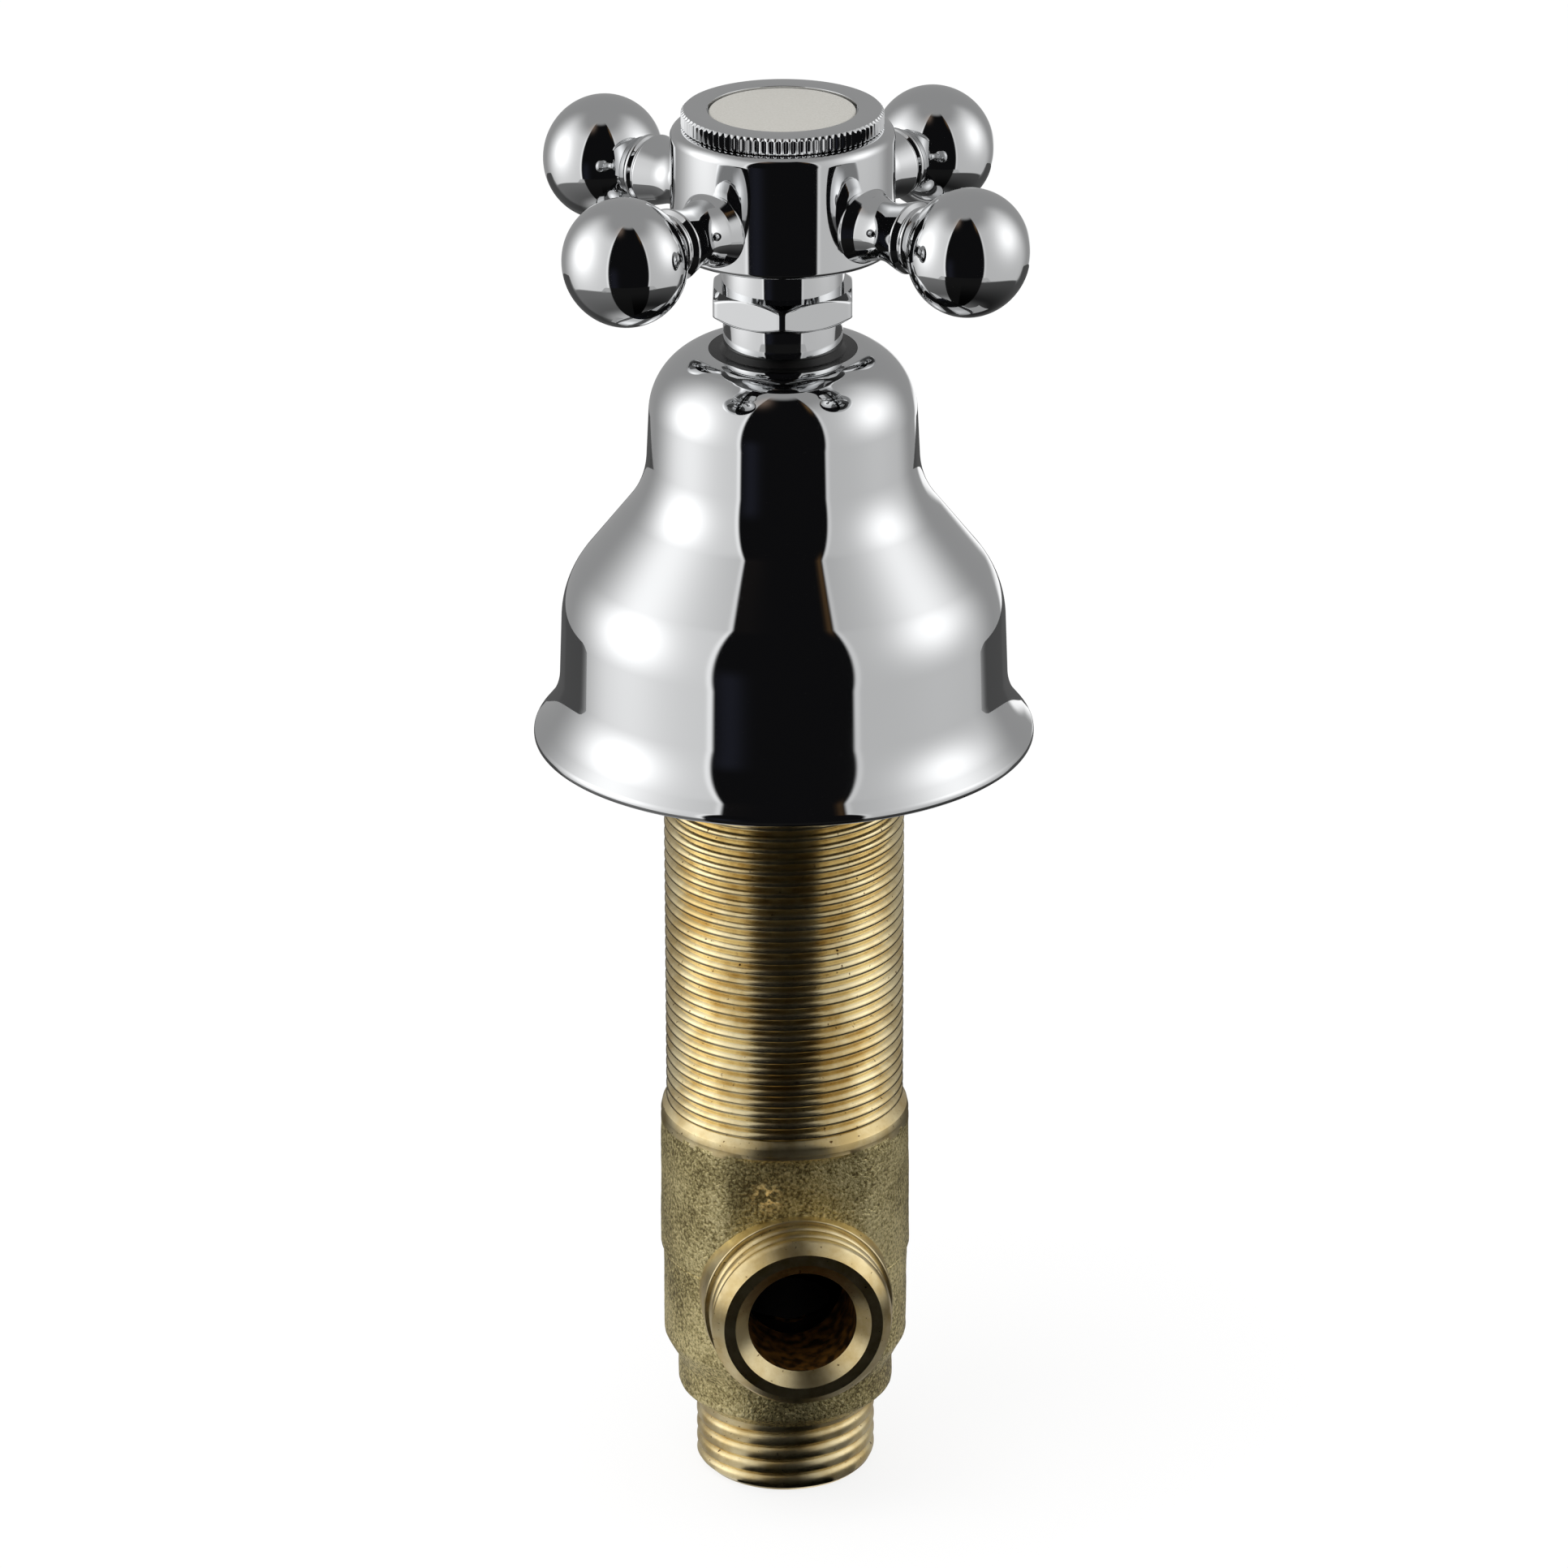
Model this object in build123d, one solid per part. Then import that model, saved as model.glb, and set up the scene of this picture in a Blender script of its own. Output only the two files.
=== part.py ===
from build123d import *
import os
from math import cos, pi, sin, sqrt

# Deck-mounted shut-off valve with a cross handle, in millimetres.
# z = 0 is the worktop, +Z is up along the valve's axis, and the outlet points along -Y.

# Clearances
running_gap = 0.05          # radial gap of a turning or sliding fit
axial_gap = 0.15            # end float between moving faces
free_gap = 0.45             # gap round parts that pass each other without guiding
pass_gap = 0.14             # gap of what is passed through a hole when it is put together

# Threads, at their crest
pipe_r = 10.48              # half-inch pipe thread on the inlet and the outlet
pipe_chamfer = 1.3
shank_r = 13.77             # fine thread of the shank through the worktop
shank_chamfer = 1.0
shank_run_out = 1.2         # height of the cone from the thread to the block
bonnet_thread_r = 7.5
washer_screw_r = 1.5

# Cast body, from the worktop down
shank_top = 22.0
shank_drop = 46.2           # worktop to the top of the cast block
block_step = 0.6            # how far the block's top stands out from the thread
block_draft = 0.13          # how much the block widens down to the casting seam
upper_block = 17.9          # block's height above the casting seam
lower_block = 11.27
lower_draft = 0.07          # how much the lower block narrows below the seam
seam_step = 0.26            # step left by the casting mould
shoulder_height = 3.03
boss_height = 3.5
boss_step = 1.97            # how far the boss stands out from the inlet's thread
inlet_length = 10.5
front_crease = 8.05         # half width of the flatter front of the block
front_r = 22.0
outlet_drop = 19.7          # block's top to the outlet's axis
outlet_collar_step = 0.52
outlet_collar_out = 0.23    # end of the outlet's collar, outside the block
outlet_thread = 5.4
outlet_bore_r = 6.27
outlet_bevel = 1.59         # width of the bevel at the outlet's mouth
outlet_bevel_depth = 1.3
inlet_bore_r = 6.3
inlet_bore_depth = 12.0

block_top = -shank_drop
block_r = shank_r + block_step
seam_z = block_top - upper_block
seam_r = block_r + block_draft
block_low_r = seam_r - seam_step
shoulder_top = seam_z - lower_block
boss_r = pipe_r + boss_step
boss_top = shoulder_top - shoulder_height
boss_end = boss_top - boss_height
inlet_end = boss_end - inlet_length
outlet_z = block_top - outlet_drop
outlet_collar_r = pipe_r + outlet_collar_step
outlet_collar = block_r + outlet_collar_out
outlet_end = outlet_collar + outlet_thread

# Valve chamber and seat
chamber_step = 1.5          # how far the chamber is wider than the bonnet's thread
seat_drop = 6.0             # outlet's axis to the seat
seat_height = 1.7
seat_hole_r = 5.1
seat_land = 0.8
seat_slope = 1.3

chamber_r = bonnet_thread_r + chamber_step
seat_z = outlet_z - seat_drop
chamber_floor = seat_z - seat_height
seat_crest_r = seat_hole_r + seat_land
seat_root_r = seat_crest_r + seat_slope

# Bell escutcheon, from its foot up
bell_wall = 1.3
bell_drum_r = 25.52
bell_foot_flare = 2.93      # how far the foot stands out from the drum
bell_foot_edge = 0.9
bell_foot_rise = 3.62
bell_drum_height = 13.6
bell_drum_taper = 0.52
bell_slope_height = 12.0
bell_neck_r = 15.53         # at the neck's lower end
bell_neck_height = 13.05
bell_neck_taper = 0.66
bell_crown_height = 3.04
bell_crown_slope = 4.89     # width of the crown's slope
bell_foot_radius = 1.4
bell_flank_radius = 9.2
bell_shoulder_radius = 11.2
bell_neck_radius = 11.04
bell_brow_radius = 7.88
bell_crown_radius = 4.7
bonnet_flange_step = 0.7    # how far the bonnet's flange stands out from its thread

bonnet_flange_r = bonnet_thread_r + bonnet_flange_step
bell_hole_r = bonnet_flange_r + pass_gap
bell_foot_r = bell_drum_r + bell_foot_flare
bell_shoulder_r = bell_drum_r - bell_drum_taper
bell_drum_base = bell_foot_edge + bell_foot_rise
bell_shoulder_z = bell_drum_base + bell_drum_height
bell_neck_z = bell_shoulder_z + bell_slope_height
bell_brow_r = bell_neck_r - bell_neck_taper
bell_brow_z = bell_neck_z + bell_neck_height
bell_crown_r = bell_brow_r - bell_crown_slope
bell_top = bell_brow_z + bell_crown_height

# Rubber ring between the bell and the headwork
ring_lip = 0.7
ring_lip_height = 1.2
ring_slope = 0.8            # width of that lip's slope
ring_proud = 0.9            # height of the ring's inner lip over the bell

# Headwork, from the bell up and down
lower_collar_step = 1.5     # how far the lower collar stands in from the flange
lower_collar_height = 3.4
collar_chamfer = 0.4
stem_step = 0.5             # how far the stem is thinner than the lower collar
hex_across_flats = 15.5
hex_height = 3.3
hex_chamfer = 1.45          # height of the rounded corner above and below its upright edge
hex_turn = 23.3             # degrees from +X to a corner of the hexagon
upper_collar_step = 0.15    # how far the upper collar stands out from the lower one
upper_collar_height = 6.3
bonnet_flange = 2.4
bonnet_thread_length = 12.0
nose_length = 6.0
nose_wall = 1.5
seal_thickness = 0.8

lower_collar_r = bonnet_flange_r - lower_collar_step
upper_collar_r = lower_collar_r + upper_collar_step
stem_r = lower_collar_r - stem_step
lower_collar_base = bell_top + ring_proud
hex_base = lower_collar_base + lower_collar_height
bonnet_top = hex_base + hex_height + upper_collar_height

# Guide sleeve and plug, with the valve open
sleeve_wall = 0.8
guide_flat_depth = 0.95     # how far the guide flats stand in from the round bore
guide_room = 6.65           # guide's length above the open plug
sleeve_clear = 1.73         # from the outlet's bore up to the sleeve
plug_lift = 6.0
plug_height = 18.0
plug_floor = 2.85           # metal between the lifting thread and the plug's lower face
cup_height = 2.4
cup_wall = 0.6
washer_thickness = 2.4
washer_proud = 0.9
plug_ring_width = 1.8
plug_ring_depth = 1.1
plug_ring_up = 2.0

sleeve_r = bonnet_thread_r - axial_gap
guide_bore_r = sleeve_r - sleeve_wall
guide_flat = guide_bore_r - guide_flat_depth
sleeve_end = outlet_z + outlet_bore_r + sleeve_clear
plug_base = seat_z + running_gap + plug_lift
cup_top = plug_base + washer_proud + cup_height
plug_top = cup_top + plug_height
guide_top = plug_top + guide_room

# Spindle
thrust_step = 1.5           # how far the collar stands out from the spindle
lifting_step = 0.5          # how far the left-hand lifting thread stands in from the spindle
collar_height = 3.0
thrust_thickness = 0.8
o_ring_width = 1.8
o_ring_depth = 1.2
o_ring_corner = 0.3
o_ring_drops = (30.5, 24.5)   # from the bonnet's top down to each seal
circlip_thickness = 0.8
circlip_reach = 0.9
circlip_depth = 0.6
circlip_slot = 70.0         # degrees left open
circlip_room = 0.35
spline_step = 0.1
spline_depth = 0.3
spline_teeth = 20
spindle_wall = 1.1          # left round the handle screw's hole
bush_wall = 1.6
bush_length = 6.2

collar_r = guide_bore_r - nose_wall - running_gap
collar_base = shank_top - bonnet_thread_length
collar_top = collar_base + collar_height
spindle_r = collar_r - thrust_step
spindle_thread_r = spindle_r - lifting_step
spindle_end = cup_top + plug_floor + axial_gap
spline_r = spindle_r - spline_step
handle_screw_r = spline_r - spline_depth - spindle_wall
bush_r = spline_r + bush_wall

# Small screws
screw_head_r = 3.5
screw_head_height = 2.2
screw_length = 9.0
screw_tip_gap = 1.0
screw_socket = 3.0
washer_r = 4.8
washer_height = 0.8
washer_screw_head_r = 2.8
washer_screw_head = 1.0
washer_screw_bite = 1.0

# Cross handle
handle_turn = 43.64         # degrees from +X to the first arm
hub_r = 12.5
hub_overlap = 1.8           # how far the hub hangs over the bonnet's top
hub_cover = 1.55            # from the screw's head up to the hub's top
hub_top_radius = 1.2
hub_base_radius = 0.6
arm_rise = 4.8              # hub's base to the arms' axis
arm_count = 4
arm_root_r = 4.2
arm_flare = 0.6
arm_neck_r = 3.1
arm_neck_out = 2.7          # hub to the arm's thinnest place
arm_cone = 3.5              # length of the widening cone
arm_rim_r = 4.1
arm_groove_r = 3.4
arm_groove_out = 0.6
arm_bead_r = 3.9
arm_bead_out = 0.6
arm_bead_end = 0.68
arm_end_r = 3.2
ball_r = 7.1
ball_flatness = 0.93        # length along the arm over the width across it

hub_base = bonnet_top - hub_overlap
hub_ceiling = bonnet_top + axial_gap + circlip_thickness + circlip_room
hub_floor = hub_ceiling + bush_length
screw_head_top = hub_floor + washer_height + screw_head_height
hub_top = screw_head_top + hub_cover
arm_z = hub_base + arm_rise
arm_neck_at = hub_r + arm_neck_out
arm_rim_at = arm_neck_at + arm_cone
arm_groove_at = arm_rim_at + arm_groove_out
arm_bead_at = arm_groove_at + arm_bead_out
arm_end_at = arm_bead_at + arm_bead_end
ball_length = ball_r * ball_flatness
ball_at = arm_end_at + ball_length * sqrt(1 - (arm_end_r / ball_r) ** 2)

# Cap ring and index disc
cap_set_in = 1.25           # how far the knurled ring stands in from the hub
cap_height = 1.85
cap_gap = 0.1
cap_teeth = 86
cap_tooth_depth = 0.35
cap_edge = 0.35
cap_rim = 2.9               # width of the flat rim round the disc
cap_skirt_wall = 2.4
cap_skirt = 2.8
cap_recess_depth = 1.2
disc_gap = 0.2
disc_seat = 1.6             # width of the ledge that the disc rests on
disc_sink = 0.15            # how far the disc lies below the ring's top
disc_edge = 0.3
disc_spigot_gap = 0.1       # from the screw's head up to the disc's spigot

cap_r = hub_r - cap_set_in
disc_r = cap_r - cap_rim - disc_gap
cap_ledge_r = disc_r - disc_seat
cap_skirt_r = cap_ledge_r + cap_skirt_wall
disc_spigot_r = cap_ledge_r - disc_gap
cap_base = hub_top + cap_gap
cap_top = cap_base + cap_height
disc_base = cap_top - cap_recess_depth


def turned(*outline):
    """A piece turned about the valve's axis from (radius, height) points."""
    return revolve(Plane.XZ * make_face(Polyline(*outline, close=True)), Axis.Z)


def disc(r, low, high):
    """A plain cylinder on the valve's axis between two heights."""
    return Pos(0, 0, low) * Cylinder(r, high - low, align=(Align.CENTER, Align.CENTER, Align.MIN))


def ring(outer, inner, low, high):
    """A plain ring on the valve's axis between two heights."""
    return disc(outer, low, high) - disc(inner, low, high)


def star(r, depth, teeth):
    """A face with straight teeth all round, its tips at r."""
    tips = []
    for step in range(2 * teeth):
        reach = r - depth * (step % 2)
        angle = pi * step / teeth
        tips.append((reach * cos(angle), reach * sin(angle)))
    return make_face(Polyline(*tips, close=True))


def flatted(r, flat, low, high):
    """A cylinder with two flats that face +X and -X."""
    height = high - low
    blank = disc(r, low, high)
    return blank & Pos(0, 0, low + height / 2) * Box(2 * flat, 2 * r, height)


def block_casting():
    """The cast lower block: round at the back, with a flatter front round the outlet."""
    outline = (
        (0, block_top),
        (block_r, block_top),
        (seam_r, seam_z),
        (block_low_r, seam_z),
        (block_low_r - lower_draft, shoulder_top),
        (boss_r, boss_top),
        (boss_r, boss_end),
        (pipe_r, boss_end - (boss_r - pipe_r)),
        (0, boss_end - (boss_r - pipe_r)),
    )
    casting = turned(*outline)
    crease_y = sqrt(block_r**2 - front_crease**2)
    front_axis = sqrt(front_r**2 - front_crease**2) - crease_y
    front = Pos(0, front_axis, 0) * turned(
        (0, block_top),
        (front_r, block_top),
        (front_r + block_draft, seam_z),
        (front_r + block_draft - seam_step, seam_z),
        (front_r + block_draft - seam_step, inlet_end),
        (0, inlet_end),
    )
    wide = 2 * block_r
    sides = Box(wide, wide, 4 * wide, align=(Align.CENTER, Align.MIN, Align.CENTER))
    back = Pos(0, -crease_y, 0) * sides
    return casting & (front + Pos(0, 0, inlet_end) * back)


def outlet_spigot():
    """The outlet's collar and male thread, chamfered at its mouth."""
    root = pipe_r - pipe_chamfer
    outline = (
        (0, 0),
        (outlet_collar_r, 0),
        (outlet_collar_r, outlet_collar),
        (pipe_r, outlet_collar),
        (pipe_r, outlet_end - pipe_chamfer),
        (root, outlet_end),
        (0, outlet_end),
    )
    return Pos(0, 0, outlet_z) * Rot(90, 0, 0) * turned(*outline)


def outlet_way():
    """The outlet's bore with the bevel at its mouth."""
    outline = (
        (0, 0),
        (outlet_bore_r, 0),
        (outlet_bore_r, outlet_end - outlet_bevel_depth),
        (outlet_bore_r + outlet_bevel, outlet_end),
        (0, outlet_end),
    )
    return Pos(0, 0, outlet_z) * Rot(90, 0, 0) * turned(*outline)


def body_cavity():
    """Threaded top, chamber with its raised seat, and the inlet's bore, as one cutter."""
    inlet_step = inlet_end + inlet_bore_depth
    outline = (
        (0, inlet_end),
        (inlet_bore_r, inlet_end),
        (inlet_bore_r, inlet_step),
        (seat_hole_r, inlet_step + inlet_bore_r - seat_hole_r),
        (seat_hole_r, seat_z),
        (seat_crest_r, seat_z),
        (seat_root_r, chamber_floor),
        (chamber_r, chamber_floor),
        (chamber_r, shank_top - bonnet_thread_length - nose_length),
        (bonnet_thread_r, shank_top - bonnet_thread_length - nose_length + chamber_r - bonnet_thread_r),
        (bonnet_thread_r, shank_top),
        (0, shank_top),
    )
    return turned(*outline)


def make_valve_body():
    """One casting: shank, block, outlet and inlet, with the seat inside."""
    shank = turned(
        (0, block_top),
        (block_r, block_top),
        (shank_r, block_top + shank_run_out),
        (shank_r, shank_top - shank_chamfer),
        (shank_r - shank_chamfer, shank_top),
        (0, shank_top),
    )
    inlet = turned(
        (0, boss_end),
        (pipe_r, boss_end),
        (pipe_r, inlet_end + pipe_chamfer / 2),
        (pipe_r - pipe_chamfer / 2, inlet_end),
        (0, inlet_end),
    )
    solid = shank + block_casting() + inlet + outlet_spigot()
    return solid - body_cavity() - outlet_way()


def make_bell():
    """The bell: foot, drum, sloping shoulder, neck and rounded top with a hole."""
    outline = FilletPolyline(
        (bell_foot_r, 0),
        (bell_foot_r, bell_foot_edge),
        (bell_drum_r, bell_drum_base),
        (bell_shoulder_r, bell_shoulder_z),
        (bell_neck_r, bell_neck_z),
        (bell_brow_r, bell_brow_z),
        (bell_crown_r, bell_top),
        (bell_hole_r, bell_top),
        radius=[
            bell_foot_radius,
            bell_flank_radius,
            bell_shoulder_radius,
            bell_neck_radius,
            bell_brow_radius,
            bell_crown_radius,
        ],
    )
    wall = make_face(offset(outline, bell_wall, side=Side.LEFT))
    return revolve(Plane.XZ * wall, Axis.Z)


def make_centring_ring():
    """Rubber ring in the bell's hole: a lip under the bell's top and one under the collar."""
    lip_top = bell_top - bell_wall - running_gap
    seat_r = lower_collar_r - collar_chamfer
    return turned(
        (stem_r, lip_top - ring_lip_height),
        (bell_hole_r + ring_lip, lip_top - ring_lip_height),
        (bell_hole_r + ring_lip, lip_top),
        (bell_hole_r, lip_top),
        (bell_hole_r, bell_top),
        (seat_r + ring_slope, bell_top),
        (seat_r, lower_collar_base),
        (stem_r, lower_collar_base),
    )


def make_bonnet():
    """Headwork: collars, hexagon, long stem, flange, thread and nose, bored for the spindle."""
    flange_base = shank_top + seal_thickness
    thread_end = shank_top - bonnet_thread_length
    nose_end = thread_end - nose_length
    turned_blank = turned(
        (0, nose_end),
        (guide_bore_r, nose_end),
        (guide_bore_r, thread_end),
        (bonnet_thread_r, thread_end),
        (bonnet_thread_r, flange_base),
        (bonnet_flange_r, flange_base),
        (bonnet_flange_r, flange_base + bonnet_flange),
        (stem_r, flange_base + bonnet_flange),
        (stem_r, lower_collar_base),
        (lower_collar_r - collar_chamfer, lower_collar_base),
        (lower_collar_r, lower_collar_base + collar_chamfer),
        (lower_collar_r, hex_base),
        (upper_collar_r, hex_base),
        (upper_collar_r, bonnet_top - collar_chamfer),
        (upper_collar_r - collar_chamfer, bonnet_top),
        (0, bonnet_top),
    )
    hex_corner_r = hex_across_flats / sqrt(3)
    hexagon = Rot(0, 0, hex_turn) * extrude(RegularPolygon(hex_corner_r, 6), hex_height)
    edge_r = hex_across_flats / 2
    barrel = turned(
        (0, hex_base),
        (edge_r, hex_base),
        (hex_corner_r, hex_base + hex_chamfer),
        (hex_corner_r, hex_base + hex_height - hex_chamfer),
        (edge_r, hex_base + hex_height),
        (0, hex_base + hex_height),
    )
    blank = turned_blank + (Pos(0, 0, hex_base) * hexagon & barrel)
    counterbore_top = nose_end + collar_height + thrust_thickness + axial_gap + nose_length
    bore = disc(spindle_r + running_gap, nose_end, bonnet_top)
    return blank - bore - disc(collar_r + running_gap, nose_end, counterbore_top)


def make_bonnet_seal():
    """Flat seal between the bonnet's flange and the shank's top."""
    return ring(bonnet_flange_r, bonnet_thread_r, shank_top, shank_top + seal_thickness)


def make_guide_sleeve():
    """Long sleeve on the bonnet's nose with two guide flats at its lower end."""
    tube = disc(sleeve_r, sleeve_end, collar_base)
    round_bore = disc(guide_bore_r, guide_top, collar_base)
    return tube - round_bore - flatted(guide_bore_r, guide_flat, sleeve_end, guide_top)


def make_spindle():
    """Spindle with its serrated head, seal grooves, collar and lifting thread."""
    groove_r = spindle_r - o_ring_depth
    clip_low = bonnet_top + axial_gap
    blank = turned(
        (0, spindle_end),
        (spindle_thread_r, spindle_end),
        (spindle_thread_r, collar_base),
        (collar_r, collar_base),
        (collar_r, collar_top),
        (spindle_r, collar_top),
        (spindle_r, hub_ceiling),
        (0, hub_ceiling),
    )
    head = Pos(0, 0, hub_ceiling) * extrude(star(spline_r, spline_depth, spline_teeth), bush_length)
    grooves = [ring(spindle_r, spindle_r - circlip_depth, clip_low, clip_low + circlip_thickness)]
    for drop in o_ring_drops:
        low = bonnet_top - drop
        grooves.append(ring(spindle_r, groove_r, low, low + o_ring_width))
    tapped = disc(handle_screw_r, hub_floor - screw_length, hub_floor)
    return blank + head - grooves - tapped


def make_spindle_o_ring(drop):
    """Spindle seal, pressed to the shape of its groove."""
    outer = spindle_r + running_gap / 2
    section = RectangleRounded(outer - spindle_r + o_ring_depth, o_ring_width, o_ring_corner)
    centre_r = (outer + spindle_r - o_ring_depth) / 2
    centre_z = bonnet_top - drop + o_ring_width / 2
    return revolve(Plane.XZ * Pos(centre_r, centre_z) * section, Axis.Z)


def make_circlip():
    """Spring ring in the spindle's groove, open on one side."""
    low = bonnet_top + axial_gap
    high = low + circlip_thickness
    closed = ring(spindle_r + circlip_reach, spindle_r - circlip_depth, low, high)
    reach = 2 * spindle_r
    opening = make_face(
        Polyline(
            (0, 0),
            (reach, -reach * sin(circlip_slot / 2 * pi / 180)),
            (reach, reach * sin(circlip_slot / 2 * pi / 180)),
            close=True,
        )
    )
    return closed - Pos(0, 0, low) * extrude(opening, circlip_thickness)


def make_thrust_washer():
    """Plain washer that takes the spindle's upward load."""
    return ring(collar_r, spindle_r, collar_top, collar_top + thrust_thickness)


def make_arm():
    """One arm along +X: root flare, neck, widening rim, groove, bead and ball."""
    flare_at = hub_r - arm_flare
    start = hub_r / 2
    shaft = Polyline((ball_at, 0), (start, 0), (start, arm_root_r), (flare_at, arm_root_r))
    shaft += Spline((flare_at, arm_root_r), (arm_neck_at, arm_neck_r), tangents=[(1, -2), (1, 0)])
    shaft += Polyline((arm_neck_at, arm_neck_r), (arm_rim_at, arm_rim_r), (arm_groove_at, arm_groove_r))
    bead_start = (arm_groove_at, arm_groove_r)
    shaft += ThreePointArc(bead_start, (arm_bead_at, arm_bead_r), (arm_end_at, arm_end_r))
    shaft += Polyline((arm_end_at, arm_end_r), (ball_at, arm_end_r), (ball_at, 0))
    half_plane = Pos(ball_at, ball_r) * Rectangle(4 * ball_r, 2 * ball_r)
    half_ball = Pos(ball_at, 0) * Ellipse(ball_length, ball_r) & half_plane
    return revolve(make_face(shaft), Axis.X) + revolve(half_ball, Axis.X)


def make_handle():
    """Cross handle: hub with four arms, each with a ball at its end."""
    arm = Pos(0, 0, arm_z) * make_arm()
    hub = disc(hub_r, hub_base, hub_top)
    hub = fillet(hub.edges().sort_by(Axis.Z)[-1], hub_top_radius)
    hub = fillet(hub.edges().sort_by(Axis.Z)[0], hub_base_radius)
    cross = hub
    for index in range(arm_count):
        cross += Rot(0, 0, handle_turn + index * 360 / arm_count) * arm
    lower_recess = disc(upper_collar_r + free_gap, hub_base - arm_root_r, hub_ceiling)
    upper_recess = disc(cap_skirt_r, hub_floor, hub_top)
    bush_seat = disc(bush_r, hub_ceiling, hub_floor)
    return cross - lower_recess - upper_recess - bush_seat


def make_spline_bush():
    """Broached bush in the hub that sits on the spindle's serrated head."""
    broach = extrude(star(spline_r, spline_depth, spline_teeth), bush_length)
    return disc(bush_r, hub_ceiling, hub_floor) - Pos(0, 0, hub_ceiling) * broach


def make_handle_screw():
    """Socket screw that holds the handle on the spindle."""
    head_base = hub_floor + washer_height
    head = disc(screw_head_r, head_base, screw_head_top)
    shank = disc(handle_screw_r, hub_floor - screw_length + screw_tip_gap, head_base)
    socket_depth = screw_head_height / 2
    socket = extrude(RegularPolygon(screw_socket / sqrt(3), 6), socket_depth)
    return head + shank - Pos(0, 0, screw_head_top - socket_depth) * socket


def make_screw_washer():
    """Washer under the handle screw's head."""
    return ring(washer_r, handle_screw_r, hub_floor, hub_floor + washer_height)


def make_cap_ring():
    """Knurled ring screwed into the hub's top, with a recess for the index disc."""
    knurled = Pos(0, 0, cap_base) * extrude(star(cap_r, cap_tooth_depth, cap_teeth), cap_height)
    rounded = turned(
        (0, cap_base),
        (cap_r - cap_edge / 2, cap_base),
        (cap_r, cap_base + cap_edge / 2),
        (cap_r, cap_top - cap_edge),
        (cap_r - cap_edge, cap_top),
        (0, cap_top),
    )
    skirt = disc(cap_skirt_r, hub_top - cap_skirt, cap_base)
    through = disc(cap_ledge_r, hub_top - cap_skirt, cap_top)
    recess = disc(disc_r + disc_gap, disc_base, cap_top)
    return (knurled & rounded) + skirt - through - recess


def make_index_disc():
    """Plain disc that snaps into the cap ring."""
    spigot_base = screw_head_top + disc_spigot_gap
    top = cap_top - disc_sink
    return turned(
        (0, spigot_base),
        (disc_spigot_r, spigot_base),
        (disc_spigot_r, disc_base),
        (disc_r, disc_base),
        (disc_r, top - disc_edge),
        (disc_r - disc_edge, top),
        (0, top),
    )


def make_plug_carrier():
    """Sliding plug with two flats, a seal groove and the lifting thread's hole."""
    slide_r = guide_bore_r - running_gap
    blank = flatted(slide_r, guide_flat - running_gap, cup_top, plug_top)
    seal_z = cup_top + plug_ring_up
    neck = ring(2 * slide_r, guide_flat - plug_ring_depth, seal_z, seal_z + plug_ring_width)
    hole = disc(spindle_thread_r + running_gap, cup_top + plug_floor, plug_top)
    tapped = disc(washer_screw_r, cup_top, cup_top + washer_screw_bite)
    return blank - neck - hole - tapped


def make_plug_o_ring():
    """Seal round the plug, pressed to the guide's outline."""
    low = cup_top + plug_ring_up
    high = low + plug_ring_width
    gap = running_gap / 2
    outer = flatted(guide_bore_r - gap, guide_flat - gap, low, high)
    return outer - disc(guide_flat - plug_ring_depth, low, high)


def make_washer_cup():
    """Cup under the plug that backs the seat washer."""
    low = plug_base + washer_proud
    outer_r = seat_crest_r + cup_wall
    blank = disc(outer_r, low, cup_top)
    pocket = disc(seat_crest_r, low, plug_base + washer_thickness)
    return blank - pocket - disc(washer_screw_r, low, cup_top)


def make_seat_washer():
    """Rubber washer that closes on the seat."""
    return ring(seat_crest_r, washer_screw_r, plug_base, plug_base + washer_thickness)


def make_washer_screw():
    """Screw through the seat washer into the plug."""
    head = disc(washer_screw_head_r, plug_base - washer_screw_head, plug_base)
    return head + disc(washer_screw_r, plug_base, cup_top + washer_screw_bite)


def main():
    """Build every piece and write it to its own file."""
    pieces = {
        "valve_body": make_valve_body(),
        "bell_escutcheon": make_bell(),
        "bell_centring_ring": make_centring_ring(),
        "headwork_bonnet": make_bonnet(),
        "bonnet_seal_ring": make_bonnet_seal(),
        "guide_sleeve": make_guide_sleeve(),
        "cross_handle": make_handle(),
        "cap_ring": make_cap_ring(),
        "index_disc": make_index_disc(),
        "handle_screw": make_handle_screw(),
        "handle_screw_washer": make_screw_washer(),
        "spline_bush": make_spline_bush(),
        "spindle": make_spindle(),
        "lower_spindle_o_ring": make_spindle_o_ring(o_ring_drops[0]),
        "upper_spindle_o_ring": make_spindle_o_ring(o_ring_drops[1]),
        "spindle_circlip": make_circlip(),
        "thrust_washer": make_thrust_washer(),
        "plug_carrier": make_plug_carrier(),
        "plug_o_ring": make_plug_o_ring(),
        "washer_cup": make_washer_cup(),
        "seat_washer": make_seat_washer(),
        "washer_screw": make_washer_screw(),
    }
    os.makedirs("parts", exist_ok=True)
    for name, piece in pieces.items():
        export_step(piece, f"parts/{name}.step")


main()
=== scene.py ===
"""Looks of a deck-mounted shut-off valve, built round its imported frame.

Lengths in the classes are millimetres, turned to metres where a mesh is made. Only the
camera's, the tent's and the lamp's are metres.
The valve's axis is Z, the worktop is z = 0 and the outlet points along -Y.
"""

import logging  # noqa: E402
import math  # noqa: E402
from collections.abc import Callable, Sequence  # noqa: E402
from dataclasses import dataclass, field  # noqa: E402
from enum import Enum  # noqa: E402

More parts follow.
